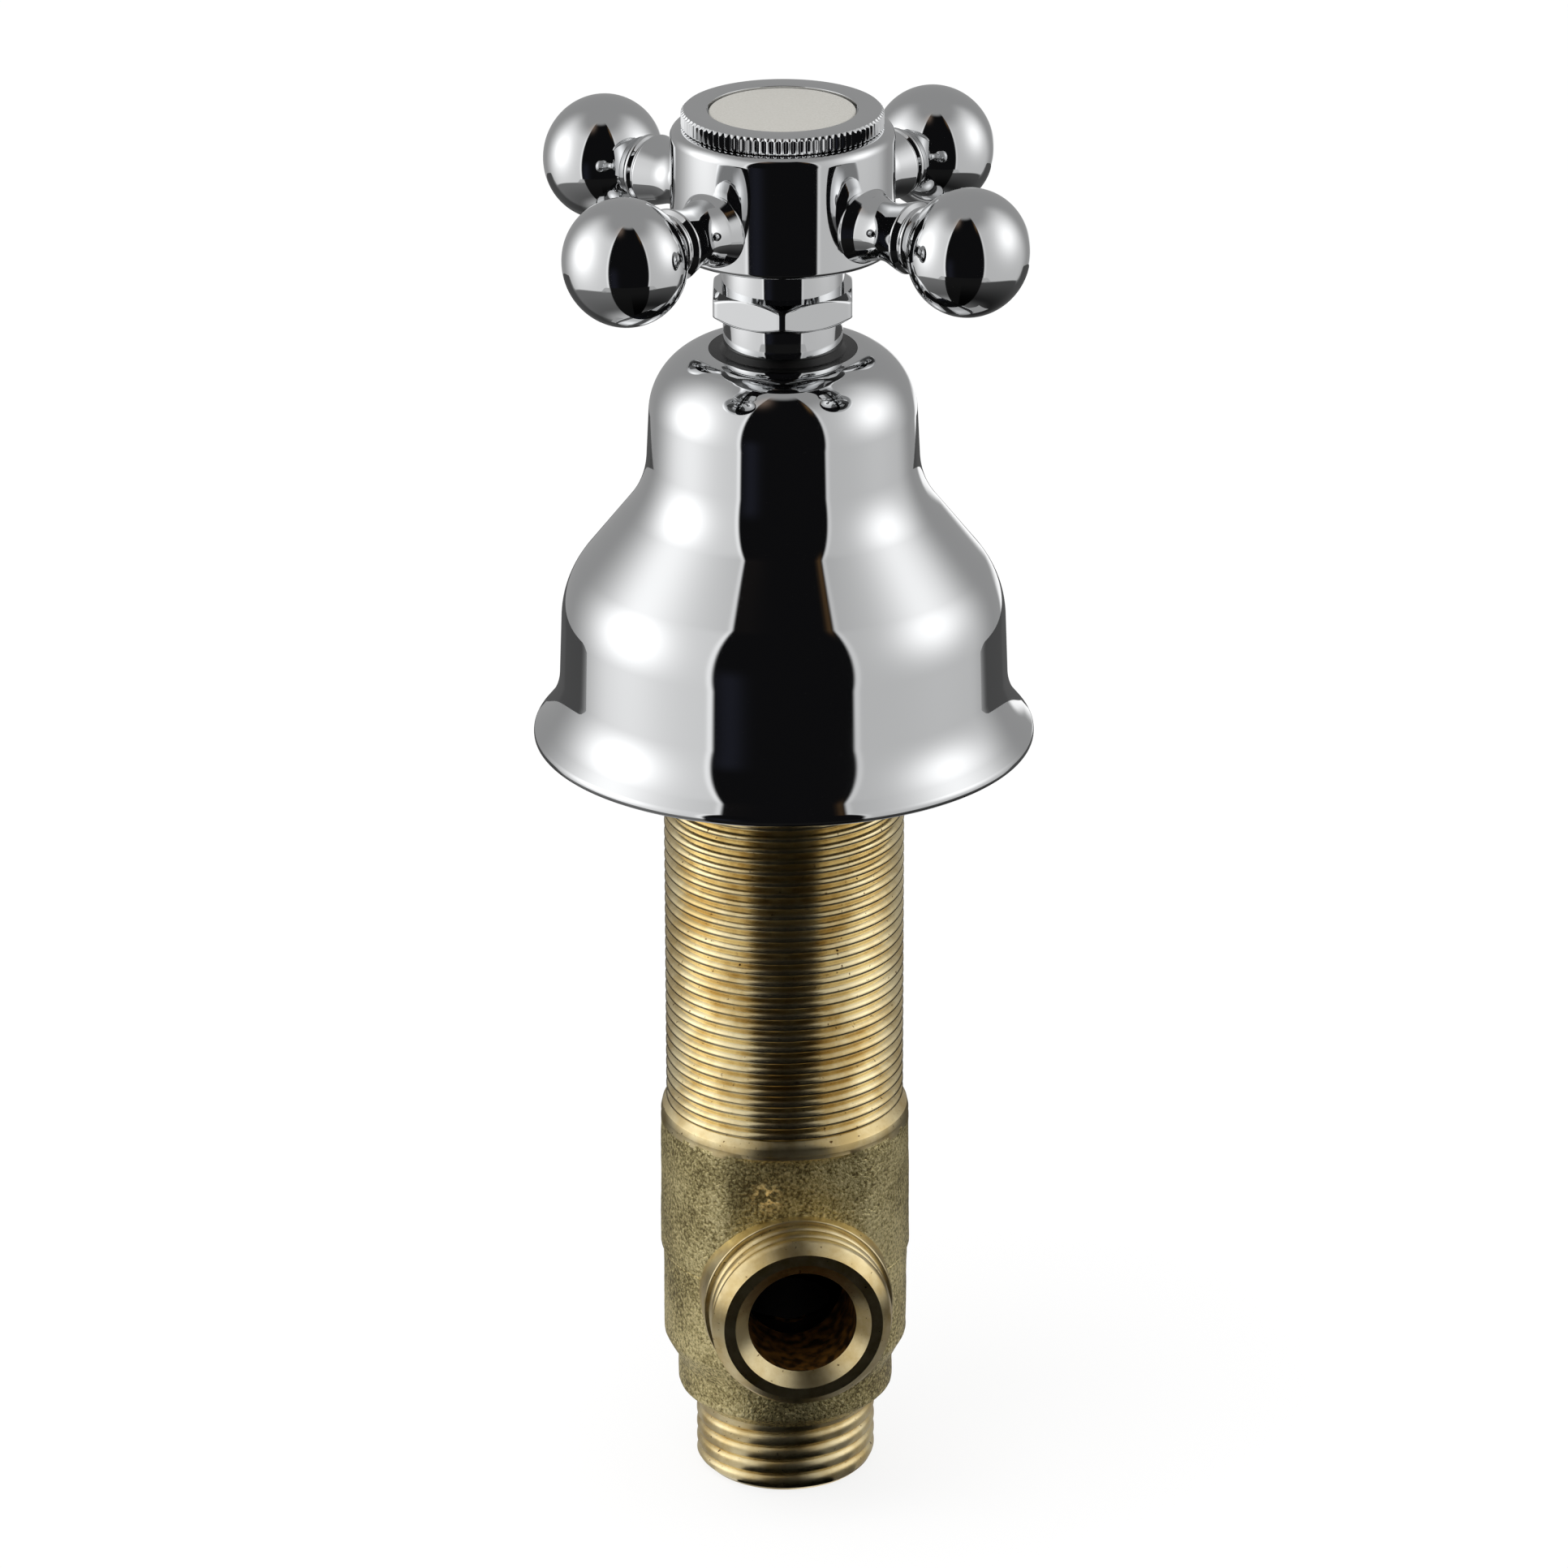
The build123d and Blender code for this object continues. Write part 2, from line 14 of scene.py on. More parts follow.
import bmesh  # noqa: E402
import bpy  # noqa: E402
from mathutils import Matrix, Quaternion, Vector, noise  # noqa: E402


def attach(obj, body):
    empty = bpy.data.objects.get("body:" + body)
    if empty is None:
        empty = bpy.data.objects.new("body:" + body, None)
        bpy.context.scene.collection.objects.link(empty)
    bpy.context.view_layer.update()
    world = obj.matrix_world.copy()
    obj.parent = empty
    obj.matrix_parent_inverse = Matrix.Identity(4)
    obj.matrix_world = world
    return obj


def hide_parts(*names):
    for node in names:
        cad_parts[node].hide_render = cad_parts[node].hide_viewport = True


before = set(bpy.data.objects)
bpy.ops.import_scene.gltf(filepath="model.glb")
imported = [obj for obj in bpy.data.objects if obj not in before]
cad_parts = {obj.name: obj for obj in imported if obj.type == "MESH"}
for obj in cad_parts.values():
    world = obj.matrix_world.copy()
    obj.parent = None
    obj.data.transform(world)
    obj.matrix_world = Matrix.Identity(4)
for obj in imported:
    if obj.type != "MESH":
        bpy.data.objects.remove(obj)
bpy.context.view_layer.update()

MM = 0.001
SHARP_ANGLE = math.radians(32)
THREAD_SHARP_ANGLE = math.radians(34)
WELD_DISTANCE = 1e-6

Point = tuple[float, float]
Colour = tuple[float, float, float, float]
Trim = Callable[[float, float, float], float]

log = logging.getLogger("valve")


class Body(Enum):
    """The rigid bodies that new pieces ride on."""

    HOUSING = "housing"
    HANDLE = "handle"


class Slot(Enum):
    """The material slots, by name, that new pieces are passed with."""

    CAST_BRASS = "cast_brass"
    CHROME_PLATE = "chrome_plate"
    BLACK_RUBBER = "black_rubber"
    WHITE_PLASTIC = "white_plastic"


class Skin(Enum):
    """How a face of the body was made, or the painted shade of its hollow, as its material's place
    on the body.
    """

    CAST = 0
    TURNED = 1
    STAINED = 2
    FACED = 3
    # Painted shade: the hollow's faces are made near black.
    PAINTED_SHADE = 4


def linear(hex_colour: str) -> Colour:
    """Turns an sRGB hex colour to linear.

    Args:
        hex_colour: A colour such as "#c8a85a".

    Returns:
        Linear red, green and blue, and an alpha of 1.
    """
    channels = [int(hex_colour[i : i + 2], 16) / 255 for i in (1, 3, 5)]
    red, green, blue = (
        c / 12.92 if c <= 0.04045 else ((c + 0.055) / 1.055) ** 2.4 for c in channels
    )
    return red, green, blue, 1.0


def per_metre(size_mm: float) -> float:
    """Returns the texture scale that gives features of a size in millimetres."""
    return 1 / (size_mm * MM)


def add_node(
    tree: bpy.types.NodeTree,
    kind: str,
    inputs: dict[str | int, object] | None = None,
    **settings: object,
) -> bpy.types.Node:
    """Adds a node with its settings and links.

    Args:
        tree: The node tree that gets the node.
        kind: The node's type name.
        inputs: A value, or another node's output to link, for each named or numbered input.
        **settings: The node's own properties.

    Returns:
        The new node.
    """
    node = tree.nodes.new(kind)
    for name, value in settings.items():
        setattr(node, name, value)
    for key, value in (inputs or {}).items():
        if isinstance(value, bpy.types.NodeSocket):
            tree.links.new(value, node.inputs[key])
        else:
            node.inputs[key].default_value = value
    return node


def ramp_stops(node: bpy.types.Node, stops: Sequence[tuple[float, str]]) -> None:
    """Sets a colour ramp's stops.

    Args:
        node: The colour ramp node.
        stops: Place from 0 to 1 and sRGB hex colour of each stop, in order.
    """
    elements = node.color_ramp.elements
    while len(elements) < len(stops):
        elements.new(1.0)
    for element, (place, hex_colour) in zip(elements, stops, strict=True):
        element.position = place
        element.color = linear(hex_colour)


def new_material(
    name: str,
) -> tuple[bpy.types.Material, bpy.types.NodeTree, bpy.types.Node, bpy.types.NodeSocket]:
    """Makes a material that holds one Principled shader.

    Args:
        name: The material's name.

    Returns:
        The material, its node tree, its shader and the object's coordinates.
    """
    material = bpy.data.materials.new(name)
    material.use_nodes = True
    tree = material.node_tree
    shader = next(n for n in tree.nodes if n.type == "BSDF_PRINCIPLED")
    place = add_node(tree, "ShaderNodeTexCoord").outputs["Object"]
    return material, tree, shader, place


def mottled(
    tree: bpy.types.NodeTree,
    place: bpy.types.NodeSocket,
    size_mm: float,
    detail: float,
    stops: Sequence[tuple[float, str]],
    raggedness: float = 0.5,
) -> tuple[bpy.types.NodeSocket, bpy.types.NodeSocket]:
    """Makes a colour that changes in cloudy patches.

    Args:
        tree: The material's node tree.
        place: The object's coordinates.
        size_mm: How large the patches are.
        detail: How many finer sizes are laid over them.
        stops: The colours, as ramp_stops takes them.
        raggedness: How strong the finer sizes are.

    Returns:
        The colour, and the value that it follows.
    """
    cloud = add_node(
        tree,
        "ShaderNodeTexNoise",
        {
            "Vector": place,
            "Scale": per_metre(size_mm),
            "Detail": detail,
            "Roughness": raggedness,
        },
    )
    tint = add_node(tree, "ShaderNodeValToRGB", {"Fac": cloud.outputs["Fac"]})
    ramp_stops(tint, stops)
    return tint.outputs["Color"], cloud.outputs["Fac"]


def drifting(
    tree: bpy.types.NodeTree,
    place: bpy.types.NodeSocket,
    size_mm: float,
    detail: float,
    span: Point,
    levels: Point = (0.0, 1.0),
) -> bpy.types.NodeSocket:
    """Makes a value that drifts between two levels in cloudy patches.

    Args:
        tree: The material's node tree.
        place: The object's coordinates.
        size_mm: How large the patches are.
        detail: How many finer sizes are laid over them.
        span: The part of the cloud, from 0 to 1, over which the value goes from level to level.
        levels: The value at the span's start and at its end.

    Returns:
        The value.
    """
    cloud = add_node(
        tree,
        "ShaderNodeTexNoise",
        {"Vector": place, "Scale": per_metre(size_mm), "Detail": detail},
    )
    value = add_node(
        tree,
        "ShaderNodeMapRange",
        {
            "Value": cloud.outputs["Fac"],
            "From Min": span[0],
            "From Max": span[1],
            "To Min": levels[0],
            "To Max": levels[1],
        },
    )
    return value.outputs["Result"]


@dataclass(frozen=True)
class ChromePlate:
    """Decorative chrome on buffed brass: a mirror, a little cold, with a trace of buffing."""

    colour: str = "#d9dadb"
    roughness: Point = (0.02, 0.05)
    haze_mm: float = 9.0
    haze_span: Point = (0.35, 0.7)
    wave_mm: float = 14.0
    wave_height_mm: float = 0.004

    def build(self) -> bpy.types.Material:
        """Makes the material: a faint haze and the soft waves that a buffing wheel leaves.

        Returns:
            The material.
        """
        material, tree, shader, place = new_material("chrome_plate")
        haze = drifting(tree, place, self.haze_mm, 5.0, self.haze_span, self.roughness)
        waves = add_node(
            tree,
            "ShaderNodeTexNoise",
            {"Vector": place, "Scale": per_metre(self.wave_mm), "Detail": 1.0},
        )
        bump = add_node(
            tree,
            "ShaderNodeBump",
            {
                "Height": waves.outputs["Fac"],
                "Distance": self.wave_height_mm * MM,
                "Strength": 1.0,
            },
        )
        shader.inputs["Base Color"].default_value = linear(self.colour)
        shader.inputs["Metallic"].default_value = 1.0
        tree.links.new(haze, shader.inputs["Roughness"])
        tree.links.new(bump.outputs["Normal"], shader.inputs["Normal"])
        return material


@dataclass(frozen=True)
class TurnedBrass:
    """Free-cutting brass, cut on a lathe: bright yellow, with fine tool lines and dark specks."""

    name: str = "turned_brass"
    bright: str = "#eddcae"
    dull: str = "#cdb47c"
    speck: str = "#5b3f22"
    roughness: float = 0.22
    tarnish_mm: float = 5.0
    speck_mm: float = 0.5
    speck_span: Point = (0.69, 0.76)
    # The tool's feed: 0.12 mm a turn.
    line_mm: float = 0.12
    line_height_mm: float = 0.006
    # Marks follow the cut, so they are about sixteen times as long as they are wide.
    line_stretch: tuple[float, float, float] = (0.06, 0.06, 1.0)

    def build(self) -> bpy.types.Material:
        """Makes the material: tool lines round the axis, uneven tarnish and small dark specks.

        Returns:
            The material.
        """
        material, tree, shader, place = new_material(self.name)
        stops = [(0.36, self.dull), (0.6, self.bright)]
        tarnish, _ = mottled(tree, place, self.tarnish_mm, 6.0, stops, raggedness=0.6)
        colour = add_node(
            tree,
            "ShaderNodeMix",
            {
                "Factor": drifting(tree, place, self.speck_mm, 2.0, self.speck_span),
                "A": tarnish,
                "B": linear(self.speck),
            },
            data_type="RGBA",
        )
        drawn_out = add_node(
            tree,
            "ShaderNodeVectorMath",
            {0: place, 1: self.line_stretch},
            operation="MULTIPLY",
        )
        lines = add_node(
            tree,
            "ShaderNodeTexNoise",
            {
                "Vector": drawn_out.outputs["Vector"],
                "Scale": per_metre(self.line_mm),
                "Detail": 2.0,
            },
        )
        bump = add_node(
            tree,
            "ShaderNodeBump",
            {
                "Height": lines.outputs["Fac"],
                "Distance": self.line_height_mm * MM,
                "Strength": 0.6,
            },
        )
        tree.links.new(colour.outputs["Result"], shader.inputs["Base Color"])
        shader.inputs["Metallic"].default_value = 1.0
        shader.inputs["Roughness"].default_value = self.roughness
        tree.links.new(bump.outputs["Normal"], shader.inputs["Normal"])
        return material


@dataclass(frozen=True)
class SandCastBrass:
    """Brass as it comes from a sand mould, tumbled: olive brown, with an even sparkling grain."""

    light: str = "#fbecb6"
    middle: str = "#cfbf88"
    dark: str = "#82744d"
    # A painted highlight: a bright brass colour on one small ragged spot of the block's front.
    painted_highlight: str = "#f0c878"
    painted_highlight_spot_mm: tuple[float, float, float] = (-3.4, -13.0, -52.4)
    painted_highlight_reach_mm: float = 2.4
    painted_highlight_span: Point = (0.45, 0.55)
    # The painted highlight is less metallic, so it is less of a mirror and shows bright from any
    # side.
    painted_highlight_scatter: float = 0.85
    roughness: float = 0.47
    # The mould's sand: grains of about a third of a millimetre.
    grain_mm: float = 0.36
    grain_height_mm: float = 0.16
    patch_mm: float = 7.0
    patch_share: float = 0.35

    def build(self) -> bpy.types.Material:
        """Makes the material: sand grain in height and colour over wide uneven patches, and a
        painted highlight on one ragged spot.

        Returns:
            The material.
        """
        material, tree, shader, place = new_material("sand_cast_brass")
        grain = add_node(
            tree,
            "ShaderNodeTexNoise",
            {"Vector": place, "Scale": per_metre(self.grain_mm), "Detail": 3.0, "Roughness": 0.6},
        )
        patches = add_node(
            tree,
            "ShaderNodeTexNoise",
            {"Vector": place, "Scale": per_metre(self.patch_mm), "Detail": 4.0},
        )
        mixed = add_node(
            tree,
            "ShaderNodeMix",
            {
                "Factor": self.patch_share,
                "A": grain.outputs["Fac"],
                "B": patches.outputs["Fac"],
            },
            data_type="FLOAT",
        )
        tint = add_node(tree, "ShaderNodeValToRGB", {"Fac": mixed.outputs["Result"]})
        ramp_stops(tint, [(0.4, self.dark), (0.5, self.middle), (0.6, self.light)])
        bump = add_node(
            tree,
            "ShaderNodeBump",
            {
                "Height": grain.outputs["Fac"],
                "Distance": self.grain_height_mm * MM,
                "Strength": 1.0,
            },
        )
        # The painted highlight: bright colour and less metal on one spot.
        painted_highlight = self.painted_highlight_share(tree, place)
        colour = add_node(
            tree,
            "ShaderNodeMix",
            {"Factor": painted_highlight, "A": tint.outputs["Color"], "B": linear(self.painted_highlight)},
            data_type="RGBA",
        )
        metallic = add_node(
            tree,
            "ShaderNodeMath",
            {0: painted_highlight, 1: -self.painted_highlight_scatter, 2: 1.0},
            operation="MULTIPLY_ADD",
        )
        tree.links.new(colour.outputs["Result"], shader.inputs["Base Color"])
        tree.links.new(metallic.outputs["Value"], shader.inputs["Metallic"])
        shader.inputs["Roughness"].default_value = self.roughness
        tree.links.new(bump.outputs["Normal"], shader.inputs["Normal"])
        return material

    def painted_highlight_share(
        self, tree: bpy.types.NodeTree, place: bpy.types.NodeSocket
    ) -> bpy.types.NodeSocket:
        """Makes the share of the painted highlight, a bright brass colour over one small ragged
        spot.

        Args:
            tree: The material's node tree.
            place: The object's coordinates.

        Returns:
            The share, from 0 to 1.
        """
        spot = tuple(value * MM for value in self.painted_highlight_spot_mm)
        away = add_node(
            tree, "ShaderNodeVectorMath", {0: place, 1: spot}, operation="DISTANCE"
        )
        near = add_node(
            tree,
            "ShaderNodeMapRange",
            {
                "Value": away.outputs["Value"],
                "From Min": self.painted_highlight_reach_mm * MM,
                "From Max": 0.0,
            },
        )
        ragged = drifting(tree, place, self.painted_highlight_reach_mm / 3, 4.0, self.painted_highlight_span)
        share = add_node(
            tree,
            "ShaderNodeMath",
            {0: near.outputs["Result"], 1: ragged},
            operation="MULTIPLY",
        )
        return share.outputs["Value"]


@dataclass(frozen=True)
class WaterStainedBrass:
    """Brass that water has stood on: dull brown stains; made near black, it is the painted shade of
    the waterways' depths and the inner parts.
    """

    name: str = "water_stained_brass"
    colour: str = "#7d5522"
    dark: str = "#2a1b0c"
    metallic: float = 0.5
    roughness: float = 0.45
    stain_mm: float = 1.2

    def build(self) -> bpy.types.Material:
        """Makes the material: uneven brown stains with next to no shine.

        Returns:
            The material.
        """
        material, tree, shader, place = new_material(self.name)
        stops = [(0.4, self.dark), (0.65, self.colour)]
        stains, _ = mottled(tree, place, self.stain_mm, 5.0, stops)
        tree.links.new(stains, shader.inputs["Base Color"])
        shader.inputs["Metallic"].default_value = self.metallic
        shader.inputs["Roughness"].default_value = self.roughness
        return material


@dataclass(frozen=True)
class NitrileRubber:
    """Moulded nitrile rubber: black and matt, with a faint bloom."""

    colour: str = "#060606"
    bloom: str = "#0d0d0d"
    roughness: float = 0.35
    ior: float = 1.52
    bloom_mm: float = 2.0

    def build(self) -> bpy.types.Material:
        """Makes the material: black with a slightly paler bloom in patches.

        Returns:
            The material.
        """
        material, tree, shader, place = new_material("nitrile_rubber")
        stops = [(0.4, self.colour), (0.7, self.bloom)]
        bloom, _ = mottled(tree, place, self.bloom_mm, 4.0, stops)
        tree.links.new(bloom, shader.inputs["Base Color"])
        shader.inputs["Roughness"].default_value = self.roughness
        shader.inputs["IOR"].default_value = self.ior
        return material


@dataclass(frozen=True)
class MouldedAcetal:
    """Acetal, injection moulded with a spark-eroded face: warm white and softly matt."""

    colour: str = "#c1bfb9"
    shade: str = "#bab8b1"
    roughness: float = 0.42
    ior: float = 1.48
    texture_mm: float = 0.25
    texture_height_mm: float = 0.01

    def build(self) -> bpy.types.Material:
        """Makes the material: a fine eroded texture that softens the shine.

        Returns:
            The material.
        """
        material, tree, shader, place = new_material("moulded_acetal")
        stops = [(0.35, self.shade), (0.65, self.colour)]
        tint, texture = mottled(tree, place, self.texture_mm, 3.0, stops)
        bump = add_node(
            tree,
            "ShaderNodeBump",
            {"Height": texture, "Distance": self.texture_height_mm * MM, "Strength": 0.5},
        )
        tree.links.new(tint, shader.inputs["Base Color"])
        shader.inputs["Roughness"].default_value = self.roughness
        shader.inputs["IOR"].default_value = self.ior
        tree.links.new(bump.outputs["Normal"], shader.inputs["Normal"])
        return material


@dataclass(frozen=True)
class StainlessSteel:
    """Stainless steel, drawn and headed: neutral grey with a fine satin."""

    colour: str = "#b9b8b4"
    roughness: Point = (0.22, 0.38)
    satin_mm: float = 0.3

    def build(self) -> bpy.types.Material:
        """Makes the material: a satin whose roughness changes in fine specks.

        Returns:
            The material.
        """
        material, tree, shader, place = new_material("stainless_steel")
        satin = drifting(tree, place, self.satin_mm, 3.0, (0.0, 1.0), self.roughness)
        shader.inputs["Base Color"].default_value = linear(self.colour)
        shader.inputs["Metallic"].default_value = 1.0
        tree.links.new(satin, shader.inputs["Roughness"])
        return material


@dataclass
class Finishes:
    """One built material for each finish."""

    chrome: bpy.types.Material = field(default_factory=lambda: ChromePlate().build())
    turned: bpy.types.Material = field(default_factory=lambda: TurnedBrass().build())
    cast: bpy.types.Material = field(default_factory=lambda: SandCastBrass().build())
    faced: bpy.types.Material = field(
        default_factory=lambda: TurnedBrass("faced_brass", roughness=0.33).build()
    )
    stained: bpy.types.Material = field(default_factory=lambda: WaterStainedBrass().build())
    # Painted shade: near-black brass for the hollow and the inner parts, which lie in shade.
    painted_shade: bpy.types.Material = field(
        default_factory=lambda: WaterStainedBrass(
            "waterway_painted_shade", "#140d06", "#050302", metallic=0.2, roughness=0.5
        ).build()
    )
    rubber: bpy.types.Material = field(default_factory=lambda: NitrileRubber().build())
    acetal: bpy.types.Material = field(default_factory=lambda: MouldedAcetal().build())
    steel: bpy.types.Material = field(default_factory=lambda: StainlessSteel().build())


def rounded_outline(corners: Sequence[tuple[float, float, float]], step: float) -> list[Point]:
    """Rounds the corners of an outline with arcs.

    Args:
        corners: Radius from the axis, height and corner radius of each point, in millimetres.
        step: The angle between points on an arc, in degrees.

    Returns:
        The outline's points, with an arc for each corner that has a radius.
    """
    points: list[Point] = []
    for index, (x, z, radius) in enumerate(corners):
        if radius == 0:
            points.append((x, z))
            continue
        corner = Vector((x, z))
        before = (Vector(corners[index - 1][:2]) - corner).normalized()
        after = (Vector(corners[index + 1][:2]) - corner).normalized()
        half = before.angle(after) / 2
        centre = corner + (before + after).normalized() * (radius / math.sin(half))
        start = corner + before * (radius / math.tan(half)) - centre
        turn = math.pi - 2 * half
        if before.x * after.y - before.y * after.x > 0:
            turn = -turn
        count = max(2, round(abs(math.degrees(turn)) / step))
        for part in range(count + 1):
            angle = turn * part / count
            spoke = Vector(
                (
                    start.x * math.cos(angle) - start.y * math.sin(angle),
                    start.x * math.sin(angle) + start.y * math.cos(angle),
                )
            )
            points.append(tuple(centre + spoke))
    return points


def resampled(points: Sequence[Point], step: float) -> list[Point]:
    """Adds points to an outline.

    Args:
        points: The outline, in millimetres.
        step: The largest distance between two points of the result.

    Returns:
        The outline with the added points.
    """
    dense: list[Point] = []
    for here, there in zip(points, points[1:], strict=False):
        count = max(1, math.ceil(math.dist(here, there) / step))
        for part in range(count):
            share = part / count
            dense.append(
                (here[0] + (there[0] - here[0]) * share, here[1] + (there[1] - here[1]) * share)
            )
    return [*dense, points[-1]]


def soft_min(first: float, second: float, width: float) -> float:
    """Returns the smaller of two lengths, with the corner between them rounded over a width."""
    overlap = max(width - abs(first - second), 0.0) / width
    return min(first, second) - overlap * overlap * width / 4


def mesh_object(name: str, mesh: bpy.types.Mesh) -> bpy.types.Object:
    """Links a mesh to the scene as a new object.

    Args:
        name: The piece's name.
        mesh: Its mesh, in metres in the frame.

    Returns:
        The object.
    """
    obj = bpy.data.objects.new(name, mesh)
    bpy.context.scene.collection.objects.link(obj)
    return obj


def smooth(mesh: bpy.types.Mesh, angle: float = SHARP_ANGLE) -> None:
    """Shades a mesh smooth, with edges sharper than an angle kept crisp."""
    mesh.shade_smooth()
    mesh.set_sharp_from_angle(angle=angle)


def lathe_mesh(
    name: str, outline: Sequence[Point], segments: int, trim: Trim | None = None
) -> bpy.types.Mesh:
    """Turns a closed outline about Z.

    Args:
        name: The mesh's name.
        outline: Points of radius and height, in millimetres, in order round the section.
        segments: The number of steps round the axis.
        trim: Gives the radius at an angle in radians, for a point of the outline; by default
            the outline's own.

    Returns:
        A closed mesh.
    """
    verts = []
    for step in range(segments):
        angle = 2 * math.pi * step / segments
        across, along = math.cos(angle) * MM, math.sin(angle) * MM
        for r, z in outline:
            reach = trim(angle, r, z) if trim else r
            verts.append((reach * across, reach * along, z * MM))
    count = len(outline)
    faces = []
    for step in range(segments):
        here, there = step * count, (step + 1) % segments * count
        for row in range(count):
            above = (row + 1) % count
            faces.append((here + row, there + row, there + above, here + above))
    mesh = bpy.data.meshes.new(name)
    mesh.from_pydata(verts, [], faces)
    return cleaned(mesh)


def cleaned(mesh: bpy.types.Mesh) -> bpy.types.Mesh:
    """Welds a mesh's doubled points and turns its faces outwards.

    Args:
        mesh: The mesh, which is changed.

    Returns:
        The same mesh.
    """
    work = bmesh.new()
    work.from_mesh(mesh)
    bmesh.ops.remove_doubles(work, verts=work.verts, dist=WELD_DISTANCE)
    bmesh.ops.dissolve_degenerate(work, dist=WELD_DISTANCE, edges=work.edges)
    bmesh.ops.recalc_face_normals(work, faces=work.faces)
    work.to_mesh(mesh)
    work.free()
    return mesh


@dataclass
class Thread:
    """A right-hand screw thread with broad rounded crests and narrow grooves, as a solid."""

    crest_r: float
    pitch: float
    low: float
    high: float
    limit: Callable[[float], float]
    # The height over which the grooves start, and how far short of the top they stop.
    run_out: float = 0.0
    lead: float = 0.0
    segments: int = 128
    # The grooves' depth as a share of the pitch, and the crests' shape: broader where lower.
    depth_share: float = 0.43
    fullness: float = 1.0
    # The rows of one turn, as shares of it.
    phases: tuple[float, ...] = (-0.08, 0.08, 0.24, 0.38, 0.5, 0.62, 0.76)

    def radius(self, z: float, phase: float) -> float:
        """Gives the surface's radius.

        Args:
            z: The height.
            phase: The share of a turn above the last crest.

        Returns:
            The radius, with the grooves fading at the run-out and over a quarter turn at the lead.
        """
        fade = min(1.0, (z - self.low) / self.run_out) if self.run_out else 1.0
        if self.lead:
            fade *= min(1.0, max(0.0, (self.high - self.lead - z) / (self.pitch / 4)))
        crest = abs(math.cos(math.pi * phase)) ** self.fullness
        groove = self.pitch * self.depth_share * fade * (1 - crest)
        return min(self.limit(z), self.crest_r - groove)

    def build(self, name: str) -> bpy.types.Mesh:
        """Makes the solid.

        Args:
            name: The mesh's name.

        Returns:
            A closed mesh whose rows follow the thread.
        """
        rows = len(self.phases)
        turns = math.ceil((self.high - self.low) / self.pitch) + 2
        count = turns * rows
        first = self.low - self.pitch
        verts = []
        for step in range(self.segments):
            share = step / self.segments
            angle = 2 * math.pi * share
            for row in range(count):
                place_in_turn = row // rows + self.phases[row % rows]
                z = first + (place_in_turn + share) * self.pitch
                z = min(max(z, self.low), self.high)
                r = self.radius(z, (z - first) / self.pitch - share)
                verts.append((r * math.cos(angle) * MM, r * math.sin(angle) * MM, z * MM))
            verts += [(0.0, 0.0, self.high * MM), (0.0, 0.0, self.low * MM)]
        mesh = bpy.data.meshes.new(name)
        mesh.from_pydata(verts, [], self.faces(count, rows))
        return cleaned(mesh)

    def faces(self, count: int, rows: int) -> list[tuple[int, ...]]:
        """Makes the solid's faces.

        Args:
            count: The number of rows in a column of points.
            rows: The number of rows in a turn.

        Returns:
            The faces' points.
        """
        column = count + 2
        faces: list[tuple[int, ...]] = []
        for step in range(self.segments):
            here, there = step * column, (step + 1) % self.segments * column
            shift = rows if step == self.segments - 1 else 0
            for row in range(count - 1 - shift):
                a, b = here + row, there + row + shift
                faces.append((a, b, b + 1, a + 1))
            top = count - 1
            faces.append((here + top - shift, there + top, here + count))
            faces.append((there, here, here + count + 1))
        return faces


def boolean(target: bpy.types.Object, tool: bpy.types.Object, operation: str) -> None:
    """Joins a tool's solid to a target's, or cuts it away, and deletes the tool.

    Args:
        target: The object that changes.
        tool: The other solid.
        operation: UNION or DIFFERENCE.
    """
    modifier = target.modifiers.new(operation.lower(), "BOOLEAN")
    modifier.operation = operation
    modifier.solver = "MANIFOLD"
    modifier.object = tool
    graph = bpy.context.evaluated_depsgraph_get()
    made = bpy.data.meshes.new_from_object(target.evaluated_get(graph))
    target.modifiers.clear()
    old = target.data
    target.data = made
    bpy.data.meshes.remove(old)
    mesh = tool.data
    bpy.data.objects.remove(tool)
    bpy.data.meshes.remove(mesh)


def dress(obj: bpy.types.Object, *materials: bpy.types.Material) -> None:
    """Gives an object its materials in place of the ones that it has.

    Args:
        obj: The object.
        *materials: The materials, in the order of its faces' material numbers.
    """
    obj.data.materials.clear()
    for material in materials:
        obj.data.materials.append(material)


def place(obj: bpy.types.Object, body: Body, slot: Slot, *nodes: str) -> bpy.types.Object:
    """Lets a new piece ride on its body and stand for the nodes that it replaces.

    Args:
        obj: The piece.
        body: The body that carries it.
        slot: Not used.
        *nodes: The frame's nodes that it replaces.

    Returns:
        The piece.
    """
    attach(obj, body.value)
    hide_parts(*nodes)
    return obj


